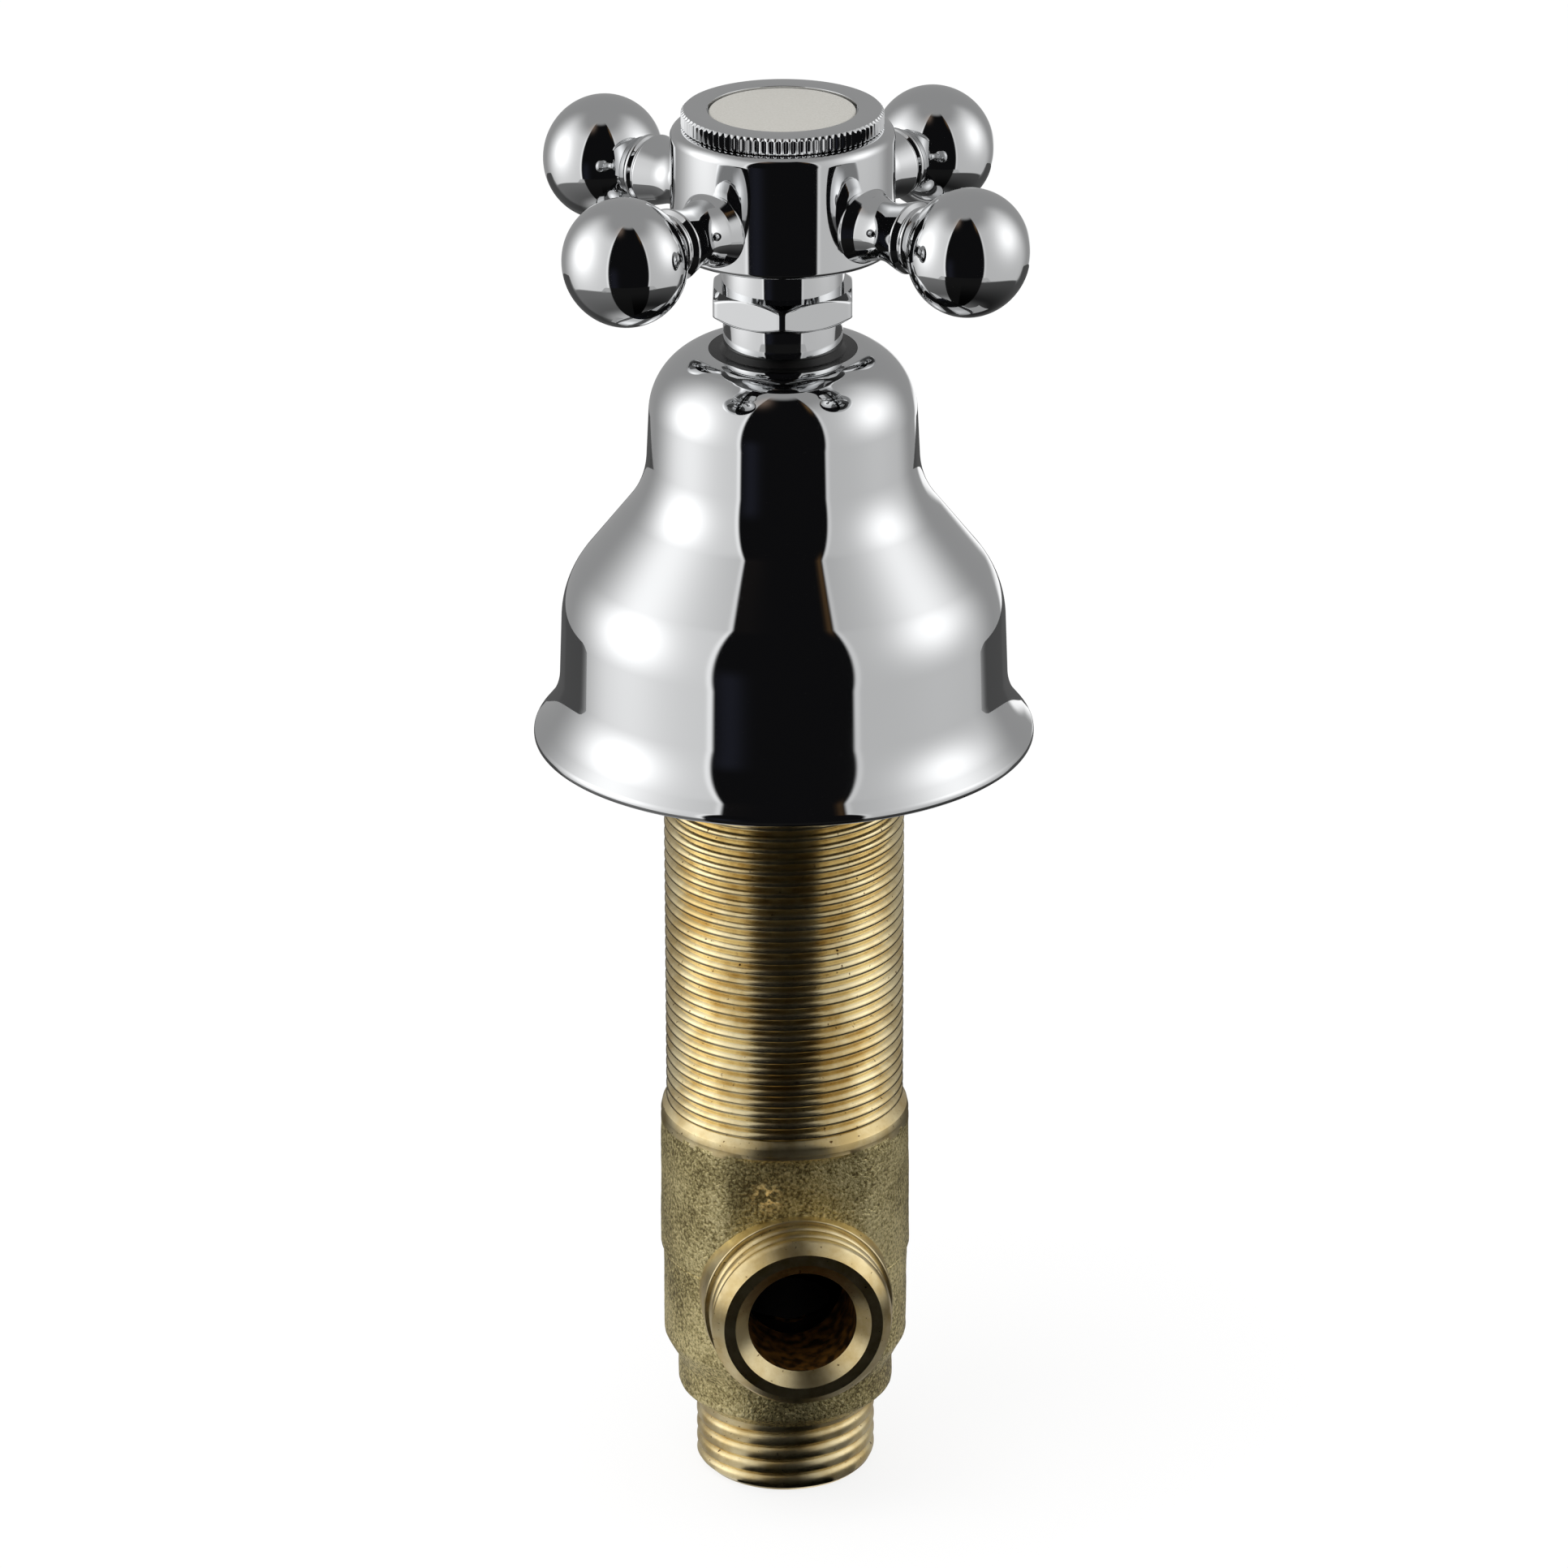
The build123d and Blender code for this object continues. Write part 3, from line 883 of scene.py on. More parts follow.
@dataclass
class ValveBody:
    """The cast body with its cut threads: shank, block, outlet and inlet.

    The corners are radius and height, and for rounded ones the corner's own radius.
    """

    finishes: Finishes
    shank_r: float = 13.77
    shank_top: float = 22.0
    shank_chamfer: float = 1.0
    shank_pitch: float = 1.375
    shank_low: float = -47.3
    block_r: float = 14.37
    boss_r: float = 12.55
    boss_end: float = -81.9
    # The machined land with one tool mark, the cast skin, the parting line's step, the lower
    # block, the shoulder and the boss.
    block_corners: tuple[tuple[float, float, float], ...] = (
        (13.3, -45.1, 0.0),
        (14.22, -46.2, 0.1),
        (14.39, -47.0, 0.03),
        (14.27, -47.05, 0.03),
        (14.41, -47.9, 0.1),
        (14.5, -64.1, 0.1),
        (13.92, -64.2, 0.05),
        (14.24, -64.5, 0.1),
        (14.17, -75.37, 1.0),
        (12.55, -78.4, 0.8),
        (12.55, -81.9, 0.5),
    )
    skin_top: float = -47.9
    skin_tilt: float = 0.35
    skin_ragged: float = 0.2
    skin_step: float = 0.45
    # The front is flatter than the rest: an arc of its own, with its centre behind the axis.
    front_r: float = 22.0
    front_axis: float = 8.57
    front_setback: float = 0.13
    front_edge: float = 0.12
    # Turning took most of the flatness off the land: it fades out over this span of heights.
    land_lead: float = 0.7
    land_blend: Point = (-0.1, 0.4)
    lump: float = 0.06
    lump_mm: float = 4.0
    ripple: float = 0.045
    ripple_mm: float = 1.3
    pipe_r: float = 10.48
    pipe_pitch: float = 1.814
    inlet_chamfer: float = 1.0
    inlet_end: float = -92.4
    inlet_depth: float = 0.28
    inlet_fullness: float = 0.55
    outlet_z: float = -65.9
    outlet_chamfer: float = 1.3
    outlet_lead: float = 1.0
    outlet_depth: float = 0.25
    outlet_fullness: float = 0.4
    outlet_end: float = 20.0
    bore_r: float = 6.27
    bevel: float = 1.59
    bevel_depth: float = 1.3
    collar_r: float = 11.0
    collar_end: float = 14.6
    # The inlet's bore, the raised seat, the chamber and the shank's threaded top.
    waterway: tuple[Point, ...] = (
        (6.3, -93.4),
        (6.3, -80.4),
        (5.1, -79.2),
        (5.1, -71.9),
        (5.9, -71.9),
        (7.2, -73.6),
        (9.0, -73.6),
        (9.0, 4.0),
        (7.5, 5.5),
        (7.5, 23.0),
    )
    bury: float = 0.4
    segments: int = 200

    def build(self) -> bpy.types.Object:
        """Joins the cast block and the threaded ends, and bores the waterways.

        Returns:
            The body.
        """
        body = self.piece("valve_body_cast", self.block(), Skin.CAST)
        for polygon in body.data.polygons:
            if self.on_land(polygon.center / MM):
                polygon.material_index = Skin.FACED.value
        outwards = self.to_outlet()
        threads = (
            (self.shank_thread(), Skin.TURNED, None),
            (self.inlet_thread(), Skin.FACED, None),
            (self.outlet_thread(), Skin.FACED, outwards),
        )
        for thread, skin, to_place in threads:
            boolean(body, self.piece("thread", thread.build("thread"), skin, to_place), "UNION")
        boolean(body, self.piece("collar", self.collar(), Skin.FACED, outwards), "UNION")
        # The hollow takes the near-black painted shade.
        boolean(body, self.piece("cavity", self.cavity(), Skin.PAINTED_SHADE), "DIFFERENCE")
        way = self.piece("outlet_way", self.outlet_way(), Skin.FACED, outwards)
        for polygon in way.data.polygons:
            in_bore = abs(polygon.normal.y) < 0.1
            if in_bore:
                polygon.material_index = Skin.STAINED.value
        boolean(body, way, "DIFFERENCE")
        smooth(body.data, THREAD_SHARP_ANGLE)
        return place(body, Body.HOUSING, Slot.CAST_BRASS, "valve_body")

    def piece(
        self, name: str, mesh: bpy.types.Mesh, skin: Skin, to_place: Matrix | None = None
    ) -> bpy.types.Object:
        """Makes one solid of the body in its place.

        Args:
            name: The solid's name.
            mesh: Its mesh.
            skin: How its surface was made.
            to_place: Takes the mesh to its place in the frame; by default it is there.

        Returns:
            The solid, with all of the body's finishes.
        """
        obj = mesh_object(name, mesh)
        kit = self.finishes
        dress(obj, kit.cast, kit.turned, kit.stained, kit.faced, kit.painted_shade)
        for polygon in mesh.polygons:
            polygon.material_index = skin.value
        if to_place:
            mesh.transform(to_place)
        return obj

    def to_outlet(self) -> Matrix:
        """Returns the move from the Z axis to the outlet's axis, which points along -Y."""
        return Matrix.Translation((0, 0, self.outlet_z * MM)) @ Matrix.Rotation(math.pi / 2, 4, "X")

    def block(self) -> bpy.types.Mesh:
        """Makes the cast block, from the machined land at its top to the boss.

        Returns:
            A closed mesh.
        """
        boss_low = self.boss_end - (self.boss_r - self.pipe_r)
        corners = [*self.block_corners, (self.pipe_r - self.bury, boss_low, 0.0)]
        skin = resampled(rounded_outline(corners, step=12.0), self.skin_step)
        outline = [(0.0, self.block_corners[0][1]), *skin, (0.0, boss_low)]
        return lathe_mesh("block", outline, self.segments, self.cast_radius)

    def cast_radius(self, angle: float, r: float, z: float) -> float:
        """Gives the block its flatter front and the unevenness of the mould.

        Args:
            angle: The angle round the axis, in radians.
            r: The outline's radius.
            z: The height.

        Returns:
            The radius there.
        """
        if r < self.pipe_r:
            return r
        aside = math.cos(angle + math.pi / 2)
        from_top, to_top = (self.skin_top + blend for blend in self.land_blend)
        front_r = self.front_r + max(r - self.block_r, -self.front_setback)
        front_r += self.land_lead * rise(z, from_top, to_top)
        spread = self.front_axis * aside
        to_front = math.sqrt(spread * spread + front_r**2 - self.front_axis**2) - spread
        reach = soft_min(r, to_front, self.front_edge)
        depth = min(1.0, max(0.0, self.skin_top - z))
        spot = Vector((reach * math.cos(angle), reach * math.sin(angle), z))
        uneven = self.lump * noise.noise(spot / self.lump_mm)
        uneven += self.ripple * noise.noise(spot / self.ripple_mm)
        return reach + depth * uneven

    def on_land(self, centre: Vector) -> bool:
        """Says if a face lies on the machined land above the cast skin.

        Args:
            centre: The face's centre, in millimetres.

        Returns:
            True on the land, whose lower edge is tilted and a little ragged.
        """
        toward_front = -centre.y / self.block_r
        ragged = self.skin_ragged * noise.noise(centre / self.ripple_mm)
        return centre.z > self.skin_top + self.skin_tilt * toward_front + ragged

    def shank_thread(self) -> Thread:
        """Returns the fine thread of the shank, chamfered at its top."""

        def limit(z: float) -> float:
            """Returns the largest radius at a height."""
            return self.shank_r - max(0.0, self.shank_chamfer - (self.shank_top - z))

        return Thread(
            self.shank_r,
            self.shank_pitch,
            self.shank_low,
            self.shank_top,
            limit,
            run_out=self.shank_pitch / 2,
        )

    def inlet_thread(self) -> Thread:
        """Returns the pipe thread of the inlet, chamfered at its end."""

        def limit(z: float) -> float:
            """Returns the largest radius at a height."""
            return self.pipe_r - max(0.0, self.inlet_chamfer - (z - self.inlet_end))

        return Thread(
            self.pipe_r,
            self.pipe_pitch,
            self.inlet_end,
            self.boss_end - (self.boss_r - self.pipe_r) + self.bury,
            limit,
            depth_share=self.inlet_depth,
            fullness=self.inlet_fullness,
        )

    def outlet_thread(self) -> Thread:
        """Returns the pipe thread of the outlet, chamfered at its mouth."""

        def limit(z: float) -> float:
            """Returns the largest radius at a distance from the valve's axis."""
            return self.pipe_r - max(0.0, self.outlet_chamfer - (self.outlet_end - z))

        return Thread(
            self.pipe_r,
            self.pipe_pitch,
            self.collar_end - self.bury,
            self.outlet_end,
            limit,
            lead=self.outlet_lead,
            depth_share=self.outlet_depth,
            fullness=self.outlet_fullness,
        )

    def collar(self) -> bpy.types.Mesh:
        """Makes the plain collar between the block and the outlet's thread.

        Returns:
            A closed mesh about Z.
        """
        corners = (
            (0.0, 0.0, 0.0),
            (self.collar_r, 0.0, 0.0),
            (self.collar_r, self.collar_end, 0.2),
            (0.0, self.collar_end, 0.0),
        )
        return lathe_mesh("collar", rounded_outline(corners, step=15.0), self.segments)

    def cavity(self) -> bpy.types.Mesh:
        """Makes the hollow of the body, which runs out past both ends.

        Returns:
            A closed mesh.
        """
        outline = ((0.0, self.waterway[0][1]), *self.waterway, (0.0, self.waterway[-1][1]))
        return lathe_mesh("cavity", outline, self.segments // 2)

    def outlet_way(self) -> bpy.types.Mesh:
        """Makes the outlet's bore with the bevel at its mouth, which runs out past the mouth.

        Returns:
            A closed mesh about Z.
        """
        beyond = 0.5
        outline = (
            (0.0, 0.0),
            (self.bore_r, 0.0),
            (self.bore_r, self.outlet_end - self.bevel_depth),
            (self.bore_r + self.bevel * (1 + beyond / self.bevel_depth), self.outlet_end + beyond),
            (0.0, self.outlet_end + beyond),
        )
        return lathe_mesh("outlet_way", outline, self.segments)


@dataclass
class BellEscutcheon:
    """The chromed bell: foot, drum, sloping shoulder, neck, brow and crown."""

    finishes: Finishes
    wall: float = 1.3
    foot_r: float = 28.45
    foot_round: float = 0.4
    corners: tuple[tuple[float, float, float], ...] = (
        (28.45, 0.9, 1.0),
        (25.52, 4.52, 9.2),
        (25.0, 18.12, 11.2),
        (15.53, 30.11, 11.04),
        (14.87, 43.16, 7.88),
        (9.98, 46.2, 4.7),
    )
    hole_r: float = 8.34
    arc_step: float = 1.5
    lip_steps: int = 6
    segments: int = 256

    def build(self) -> bpy.types.Object:
        """Turns the bell's wall and dresses it in chrome.

        Returns:
            The bell.
        """
        top = self.corners[-1][1]
        outside = rounded_outline(
            [(self.foot_r, self.foot_round, 0.0), *self.corners, (self.hole_r, top, 0.0)],
            self.arc_step,
        )
        inside = [self.inward(outside, index) for index in range(len(outside))]
        lip = []
        for part in range(self.lip_steps):
            angle = math.pi / 2 * part / self.lip_steps
            across = self.foot_r - self.foot_round * (1 - math.sin(angle))
            lip.append((across, self.foot_round * (1 - math.cos(angle))))
        outline = [*lip, *outside, *inside[::-1], (self.foot_r - self.wall, 0.0)]
        bell = mesh_object("bell", lathe_mesh("bell", outline, self.segments))
        dress(bell, self.finishes.chrome)
        smooth(bell.data)
        return place(bell, Body.HOUSING, Slot.CHROME_PLATE, "bell_escutcheon")

    def inward(self, outside: Sequence[Point], index: int) -> Point:
        """Finds the point one wall inside an outline's point, square to the outline.

        Args:
            outside: The outline.
            index: The point's number in it.

        Returns:
            The point inside.
        """
        before = Vector(outside[max(index - 1, 0)])
        after = Vector(outside[min(index + 1, len(outside) - 1)])
        along = (after - before).normalized()
        inner = Vector(outside[index]) + Vector((-along.y, along.x)) * self.wall
        return inner.x, inner.y


@dataclass
class CentringRing:
    """The black rubber ring that centres the bell on the headwork."""

    finishes: Finishes
    corners: tuple[tuple[float, float, float], ...] = (
        (6.2, 43.65, 0.0),
        (9.04, 43.65, 0.2),
        (9.04, 44.85, 0.1),
        (8.34, 44.85, 0.0),
        (8.34, 46.2, 0.1),
        (7.1, 46.2, 0.15),
        (6.3, 47.1, 0.1),
        (6.2, 47.1, 0.0),
    )

    def build(self) -> bpy.types.Object:
        """Moulds the ring.

        Returns:
            The ring.
        """
        outline = rounded_outline(self.corners, step=15.0)
        mesh = lathe_mesh("rubber_ring", outline, segments=128)
        ring = mesh_object("rubber_ring", mesh)
        dress(ring, self.finishes.rubber)
        smooth(ring.data)
        return place(ring, Body.HOUSING, Slot.BLACK_RUBBER, "bell_centring_ring")


@dataclass
class Headwork:
    """The chromed headwork: stem, lower collar, chamfered hexagon and upper collar."""

    finishes: Finishes
    bore_r: float = 3.55
    counterbore_r: float = 5.05
    nose_end: float = 4.0
    counterbore_top: float = 13.95
    nose_r: float = 6.55
    thread_r: float = 7.5
    thread_base: float = 10.0
    flange_r: float = 8.2
    flange_base: float = 22.8
    flange_top: float = 25.2
    stem_r: float = 6.2
    lower_r: float = 6.7
    lower_base: float = 46.95
    lower_edge: float = 0.15
    hex_base: float = 50.5
    hex_top: float = 53.8
    hex_flat: float = 7.75
    hex_turn: float = 23.3
    hex_chamfer: float = 0.8
    hex_edge: float = 0.3
    hex_corner: float = 0.62
    hex_step: float = 0.12
    upper_r: float = 6.85
    upper_edge: float = 0.4
    top: float = 60.1
    segments: int = 360

    def build(self) -> bpy.types.Object:
        """Turns the headwork and cuts its hexagon.

        Returns:
            The headwork.
        """
        outline = rounded_outline(
            [
                (self.bore_r, self.top, 0.0),
                (self.bore_r, self.counterbore_top, 0.0),
                (self.counterbore_r, self.counterbore_top, 0.0),
                (self.counterbore_r, self.nose_end, 0.0),
                (self.nose_r, self.nose_end, 0.0),
                (self.nose_r, self.thread_base, 0.0),
                (self.thread_r, self.thread_base, 0.0),
                (self.thread_r, self.flange_base, 0.0),
                (self.flange_r, self.flange_base, 0.0),
                (self.flange_r, self.flange_top, 0.0),
                (self.stem_r, self.flange_top, 0.0),
                (self.stem_r, self.lower_base, 0.0),
                (self.lower_r - self.lower_edge, self.lower_base, 0.05),
                (self.lower_r, self.lower_base + self.lower_edge, 0.05),
                (self.lower_r, self.hex_base, 0.0),
            ],
            step=20.0,
        )
        outline += self.hex_rows()
        outline += rounded_outline(
            [
                (self.upper_r, self.hex_top, 0.0),
                (self.upper_r, self.top - self.upper_edge, 0.15),
                (self.upper_r - self.upper_edge, self.top, 0.1),
                (self.bore_r, self.top, 0.0),
            ],
            step=20.0,
        )[:-1]
        mesh = lathe_mesh("headwork", outline, self.segments, self.hex_radius)
        headwork = mesh_object("headwork", mesh)
        dress(headwork, self.finishes.chrome)
        smooth(headwork.data)
        return place(headwork, Body.HOUSING, Slot.CHROME_PLATE, "headwork_bonnet")

    def hex_rows(self) -> list[Point]:
        """Makes the barrel that rounds the hexagon's corners off.

        Returns:
            Its outline, in dense rows.
        """
        corner_r = self.hex_flat / math.cos(math.pi / 6)
        barrel = [
            (self.hex_flat, self.hex_base),
            (corner_r, self.hex_base + self.hex_chamfer),
            (corner_r, self.hex_top - self.hex_chamfer),
            (self.hex_flat, self.hex_top),
        ]
        return resampled(barrel, self.hex_step)

    def hex_radius(self, angle: float, r: float, z: float) -> float:
        """Cuts the hexagon from the barrel.

        Args:
            angle: The angle round the axis, in radians.
            r: The barrel's radius.
            z: The height.

        Returns:
            The radius: the hexagon's where the barrel stands out from it.
        """
        if r < self.hex_flat or not self.hex_base <= z <= self.hex_top:
            return r
        sixth = math.pi / 3
        aside = (angle - math.radians(self.hex_turn) + sixth / 2) % sixth - sixth / 2
        to_flat = soft_min(
            self.hex_flat / math.cos(aside - sixth / 2),
            self.hex_flat / math.cos(aside + sixth / 2),
            self.hex_corner,
        )
        return soft_min(r, to_flat, self.hex_edge)


@dataclass
class CrossHandle:
    """The chromed cross handle: one casting of a hub and four arms that end in balls."""

    finishes: Finishes
    hub_r: float = 12.5
    hub_base: float = 58.3
    hub_top: float = 72.15
    top_round: float = 1.2
    base_round: float = 0.6
    lower_recess_r: float = 7.3
    lower_recess_top: float = 61.4
    bush_r: float = 5.0
    upper_recess_r: float = 8.95
    upper_recess_floor: float = 67.6
    arm_z: float = 63.1
    turn: float = 43.64
    arms: int = 4
    arm_start: float = 9.5
    arm_corners: tuple[tuple[float, float, float], ...] = (
        (4.45, 12.0, 0.4),
        (3.75, 13.2, 1.5),
        (3.05, 15.4, 4.0),
        (4.1, 18.7, 0.3),
        (3.4, 19.3, 0.2),
        (3.9, 19.75, 0.35),
        (3.85, 20.1, 0.35),
        (3.2, 20.58, 0.15),
    )
    ball_r: float = 7.1
    ball_length: float = 6.603
    ball_at: float = 26.47
    ball_join: float = 20.55
    ball_steps: int = 48
    segments: int = 128

    def build(self) -> bpy.types.Object:
        """Joins the arms to the hub and dresses the casting.

        Returns:
            The cross handle.
        """
        mesh = lathe_mesh("cross_casting", self.hub(), segments=256)
        cross = mesh_object("cross_casting", mesh)
        dress(cross, self.finishes.chrome)
        for index in range(self.arms):
            arm = mesh_object("arm", lathe_mesh("arm", self.arm(), self.segments))
            dress(arm, self.finishes.chrome)
            swing = math.radians(self.turn + index * 360 / self.arms)
            arm.data.transform(
                Matrix.Translation((0, 0, self.arm_z * MM))
                @ Matrix.Rotation(swing, 4, "Z")
                @ Matrix.Rotation(math.pi / 2, 4, "Y")
            )
            boolean(cross, arm, "UNION")
        smooth(cross.data)
        return place(cross, Body.HANDLE, Slot.CHROME_PLATE, "cross_handle")

    def hub(self) -> list[Point]:
        """Draws the hub with its recesses.

        Returns:
            Its outline, of radius and height.
        """
        return rounded_outline(
            [
                (self.lower_recess_r, self.hub_base, 0.0),
                (self.hub_r, self.hub_base, self.base_round),
                (self.hub_r, self.hub_top, self.top_round),
                (self.upper_recess_r, self.hub_top, 0.0),
                (self.upper_recess_r, self.upper_recess_floor, 0.0),
                (self.bush_r, self.upper_recess_floor, 0.0),
                (self.bush_r, self.lower_recess_top, 0.0),
                (self.lower_recess_r, self.lower_recess_top, 0.0),
            ],
            step=6.0,
        )

    def arm(self) -> list[Point]:
        """Draws one arm: its shaft with the ring bead, and its ball.

        Returns:
            Its outline, of radius and distance from the valve's axis.
        """
        start_r = self.arm_corners[0][0]
        shaft = rounded_outline(
            [
                (0.0, self.arm_start, 0.0),
                (start_r, self.arm_start, 0.0),
                *self.arm_corners,
                (self.arm_corners[-1][0], self.ball_at, 0.0),
            ],
            step=6.0,
        )
        join = math.asin((self.ball_join - self.ball_at) / self.ball_length)
        ball = []
        for part in range(self.ball_steps + 1):
            angle = join + (math.pi / 2 - join) * part / self.ball_steps
            along = self.ball_at + self.ball_length * math.sin(angle)
            ball.append((self.ball_r * math.cos(angle), along))
        return [*shaft[:-1], *ball[1:-1], (0.0, self.ball_at + self.ball_length)]


@dataclass
class CapRing:
    """The knurled chromed ring in the hub's top."""

    finishes: Finishes
    outer_r: float = 11.25
    ledge_r: float = 6.55
    skirt_r: float = 8.95
    skirt_base: float = 69.35
    base: float = 72.25
    top: float = 74.1
    recess_r: float = 8.35
    recess_floor: float = 72.9
    edge: float = 0.35
    teeth: int = 86
    depth: float = 0.35
    # The share of a tooth's flank that is level at its tip, and again at its root.
    level_share: float = 0.12
    steps: int = 8

    def build(self) -> bpy.types.Object:
        """Turns the ring and knurls its rim.

        Returns:
            The ring.
        """
        outline = rounded_outline(
            [
                (self.ledge_r, self.skirt_base, 0.0),
                (self.skirt_r, self.skirt_base, 0.0),
                (self.skirt_r, self.base, 0.0),
                (self.outer_r - self.depth, self.base, 0.0),
                (self.outer_r - self.edge / 2, self.base, 0.0),
                (self.outer_r, self.base + self.edge / 2, 0.05),
                (self.outer_r, self.top - self.edge, 0.12),
                (self.outer_r - self.edge, self.top, 0.1),
                (self.recess_r, self.top, 0.08),
                (self.recess_r, self.recess_floor, 0.0),
                (self.ledge_r, self.recess_floor, 0.0),
            ],
            step=15.0,
        )
        mesh = lathe_mesh("knurled_ring", outline, self.teeth * self.steps, self.toothed)
        ring = mesh_object("knurled_ring", mesh)
        dress(ring, self.finishes.chrome)
        smooth(ring.data)
        return place(ring, Body.HANDLE, Slot.CHROME_PLATE, "cap_ring")

    def toothed(self, angle: float, r: float, z: float) -> float:
        """Cuts the ring's rim back between the teeth.

        Args:
            angle: The angle round the axis, in radians.
            r: The outline's radius.
            z: The height, which makes no difference.

        Returns:
            The radius there.
        """
        share = angle * self.teeth / (2 * math.pi) % 1.0
        flank = 1 - abs(2 * share - 1)
        rounded = min(max((flank - self.level_share) / (1 - 2 * self.level_share), 0.0), 1.0)
        return min(r, self.outer_r - self.depth * rounded)


@dataclass
class IndexDisc:
    """The plain white disc in the cap ring."""

    finishes: Finishes
    corners: tuple[tuple[float, float, float], ...] = (
        (0.0, 70.7, 0.0),
        (6.35, 70.7, 0.0),
        (6.35, 72.9, 0.0),
        (8.15, 72.9, 0.0),
        (8.15, 73.95, 0.25),
        (0.0, 73.95, 0.0),
    )

    def build(self) -> bpy.types.Object:
        """Moulds the disc.

        Returns:
            The disc.
        """
        outline = rounded_outline(self.corners, step=12.0)
        mesh = lathe_mesh("white_disc", outline, segments=192)
        disc = mesh_object("white_disc", mesh)
        dress(disc, self.finishes.acetal)
        smooth(disc.data)
        return place(disc, Body.HANDLE, Slot.WHITE_PLASTIC, "index_disc")


@dataclass
class PhotoCamera:
    """A long lens that looks a little down on the valve."""

    distance: float = 0.801
    height: float = 0.3277
    azimuth: float = 6.1
    pitch: float = 22.65
    roll: float = -0.13
    lens: float = 174.4
    sensor: float = 36.0
    clip: Point = (0.05, 20.0)

    def build(self) -> bpy.types.Object:
        """Makes the camera and gives it to the scene.

        Returns:
            The camera.
        """
        turn, down = math.radians(self.azimuth), math.radians(self.pitch)
        data = bpy.data.cameras.new("camera")
        data.lens = self.lens
        data.sensor_width = self.sensor
        data.clip_start, data.clip_end = self.clip
        camera = bpy.data.objects.new("camera", data)
        camera.location = (
            -self.distance * math.sin(turn),
            -self.distance * math.cos(turn),
            self.height,
        )
        look = Vector(
            (math.sin(turn) * math.cos(down), math.cos(turn) * math.cos(down), -math.sin(down))
        )
        lean = Quaternion((0, 0, 1), math.radians(self.roll))
        camera.rotation_mode = "QUATERNION"
        camera.rotation_quaternion = look.to_track_quat("-Z", "Y") @ lean
        bpy.context.scene.collection.objects.link(camera)
        bpy.context.scene.camera = camera
        return camera


def rise(value: float, start: float, end: float) -> float:
    """Returns a smooth share from 0 at a start to 1 at an end, which may lie below it."""
    share = min(max((value - start) / (end - start), 0.0), 1.0)
    return share * share * (3 - 2 * share)


def bump_at(value: float, centre: float, width: float) -> float:
    """Returns a bell-shaped share, 1 at its centre."""
    return math.exp(-(((value - centre) / width) ** 2) / 2)


@dataclass(frozen=True)
class Softbox:
    """A lit wall of the studio by direction, in degrees off the camera's side and up."""

    inner: float
    rim_level: float
    outer: Point
    top: Point
    level: float
    spot_level: float
    spot_azimuth: float
    spot_elevation: float
    spot_width: float
    spot_height: float
    # How the inner edge fades in, and where the brighter rim beside it lies.
    edge: Point = (-0.7, 1.6)
    rim_at: float = 2.4
    rim_width: float = 1.1

    def light(self, aside: float, up: float) -> float:
        """Gives the wall's light in a direction: even light, a bright rim and the lamp's spot.

        Args:
            aside: Degrees off the camera's side, positive towards this wall.
            up: Degrees above the level.

        Returns:
            The light.
        """
        inside = rise(aside, self.inner + self.edge[0], self.inner + self.edge[1])
        height = rise(up, self.top[1], self.top[0])
        even = self.level * rise(aside, self.outer[1], self.outer[0]) * height
        rim = self.rim_level * bump_at(aside, self.inner + self.rim_at, self.rim_width) * height
        spot = bump_at(aside, self.spot_azimuth, self.spot_width)
        spot *= bump_at(up, self.spot_elevation, self.spot_height) * self.spot_level
        return inside * (even + rim + spot)


@dataclass(frozen=True)
class Glow:
    """A faint coloured light in one direction, in degrees."""

    aside: float
    aside_width: float
    up: float
    up_width: float
    colour: tuple[float, float, float]

    def light(self, aside: float, up: float) -> Vector:
        """Returns its light in a direction."""
        share = bump_at(aside, self.aside, self.aside_width) * bump_at(up, self.up, self.up_width)
        return Vector(self.colour) * share


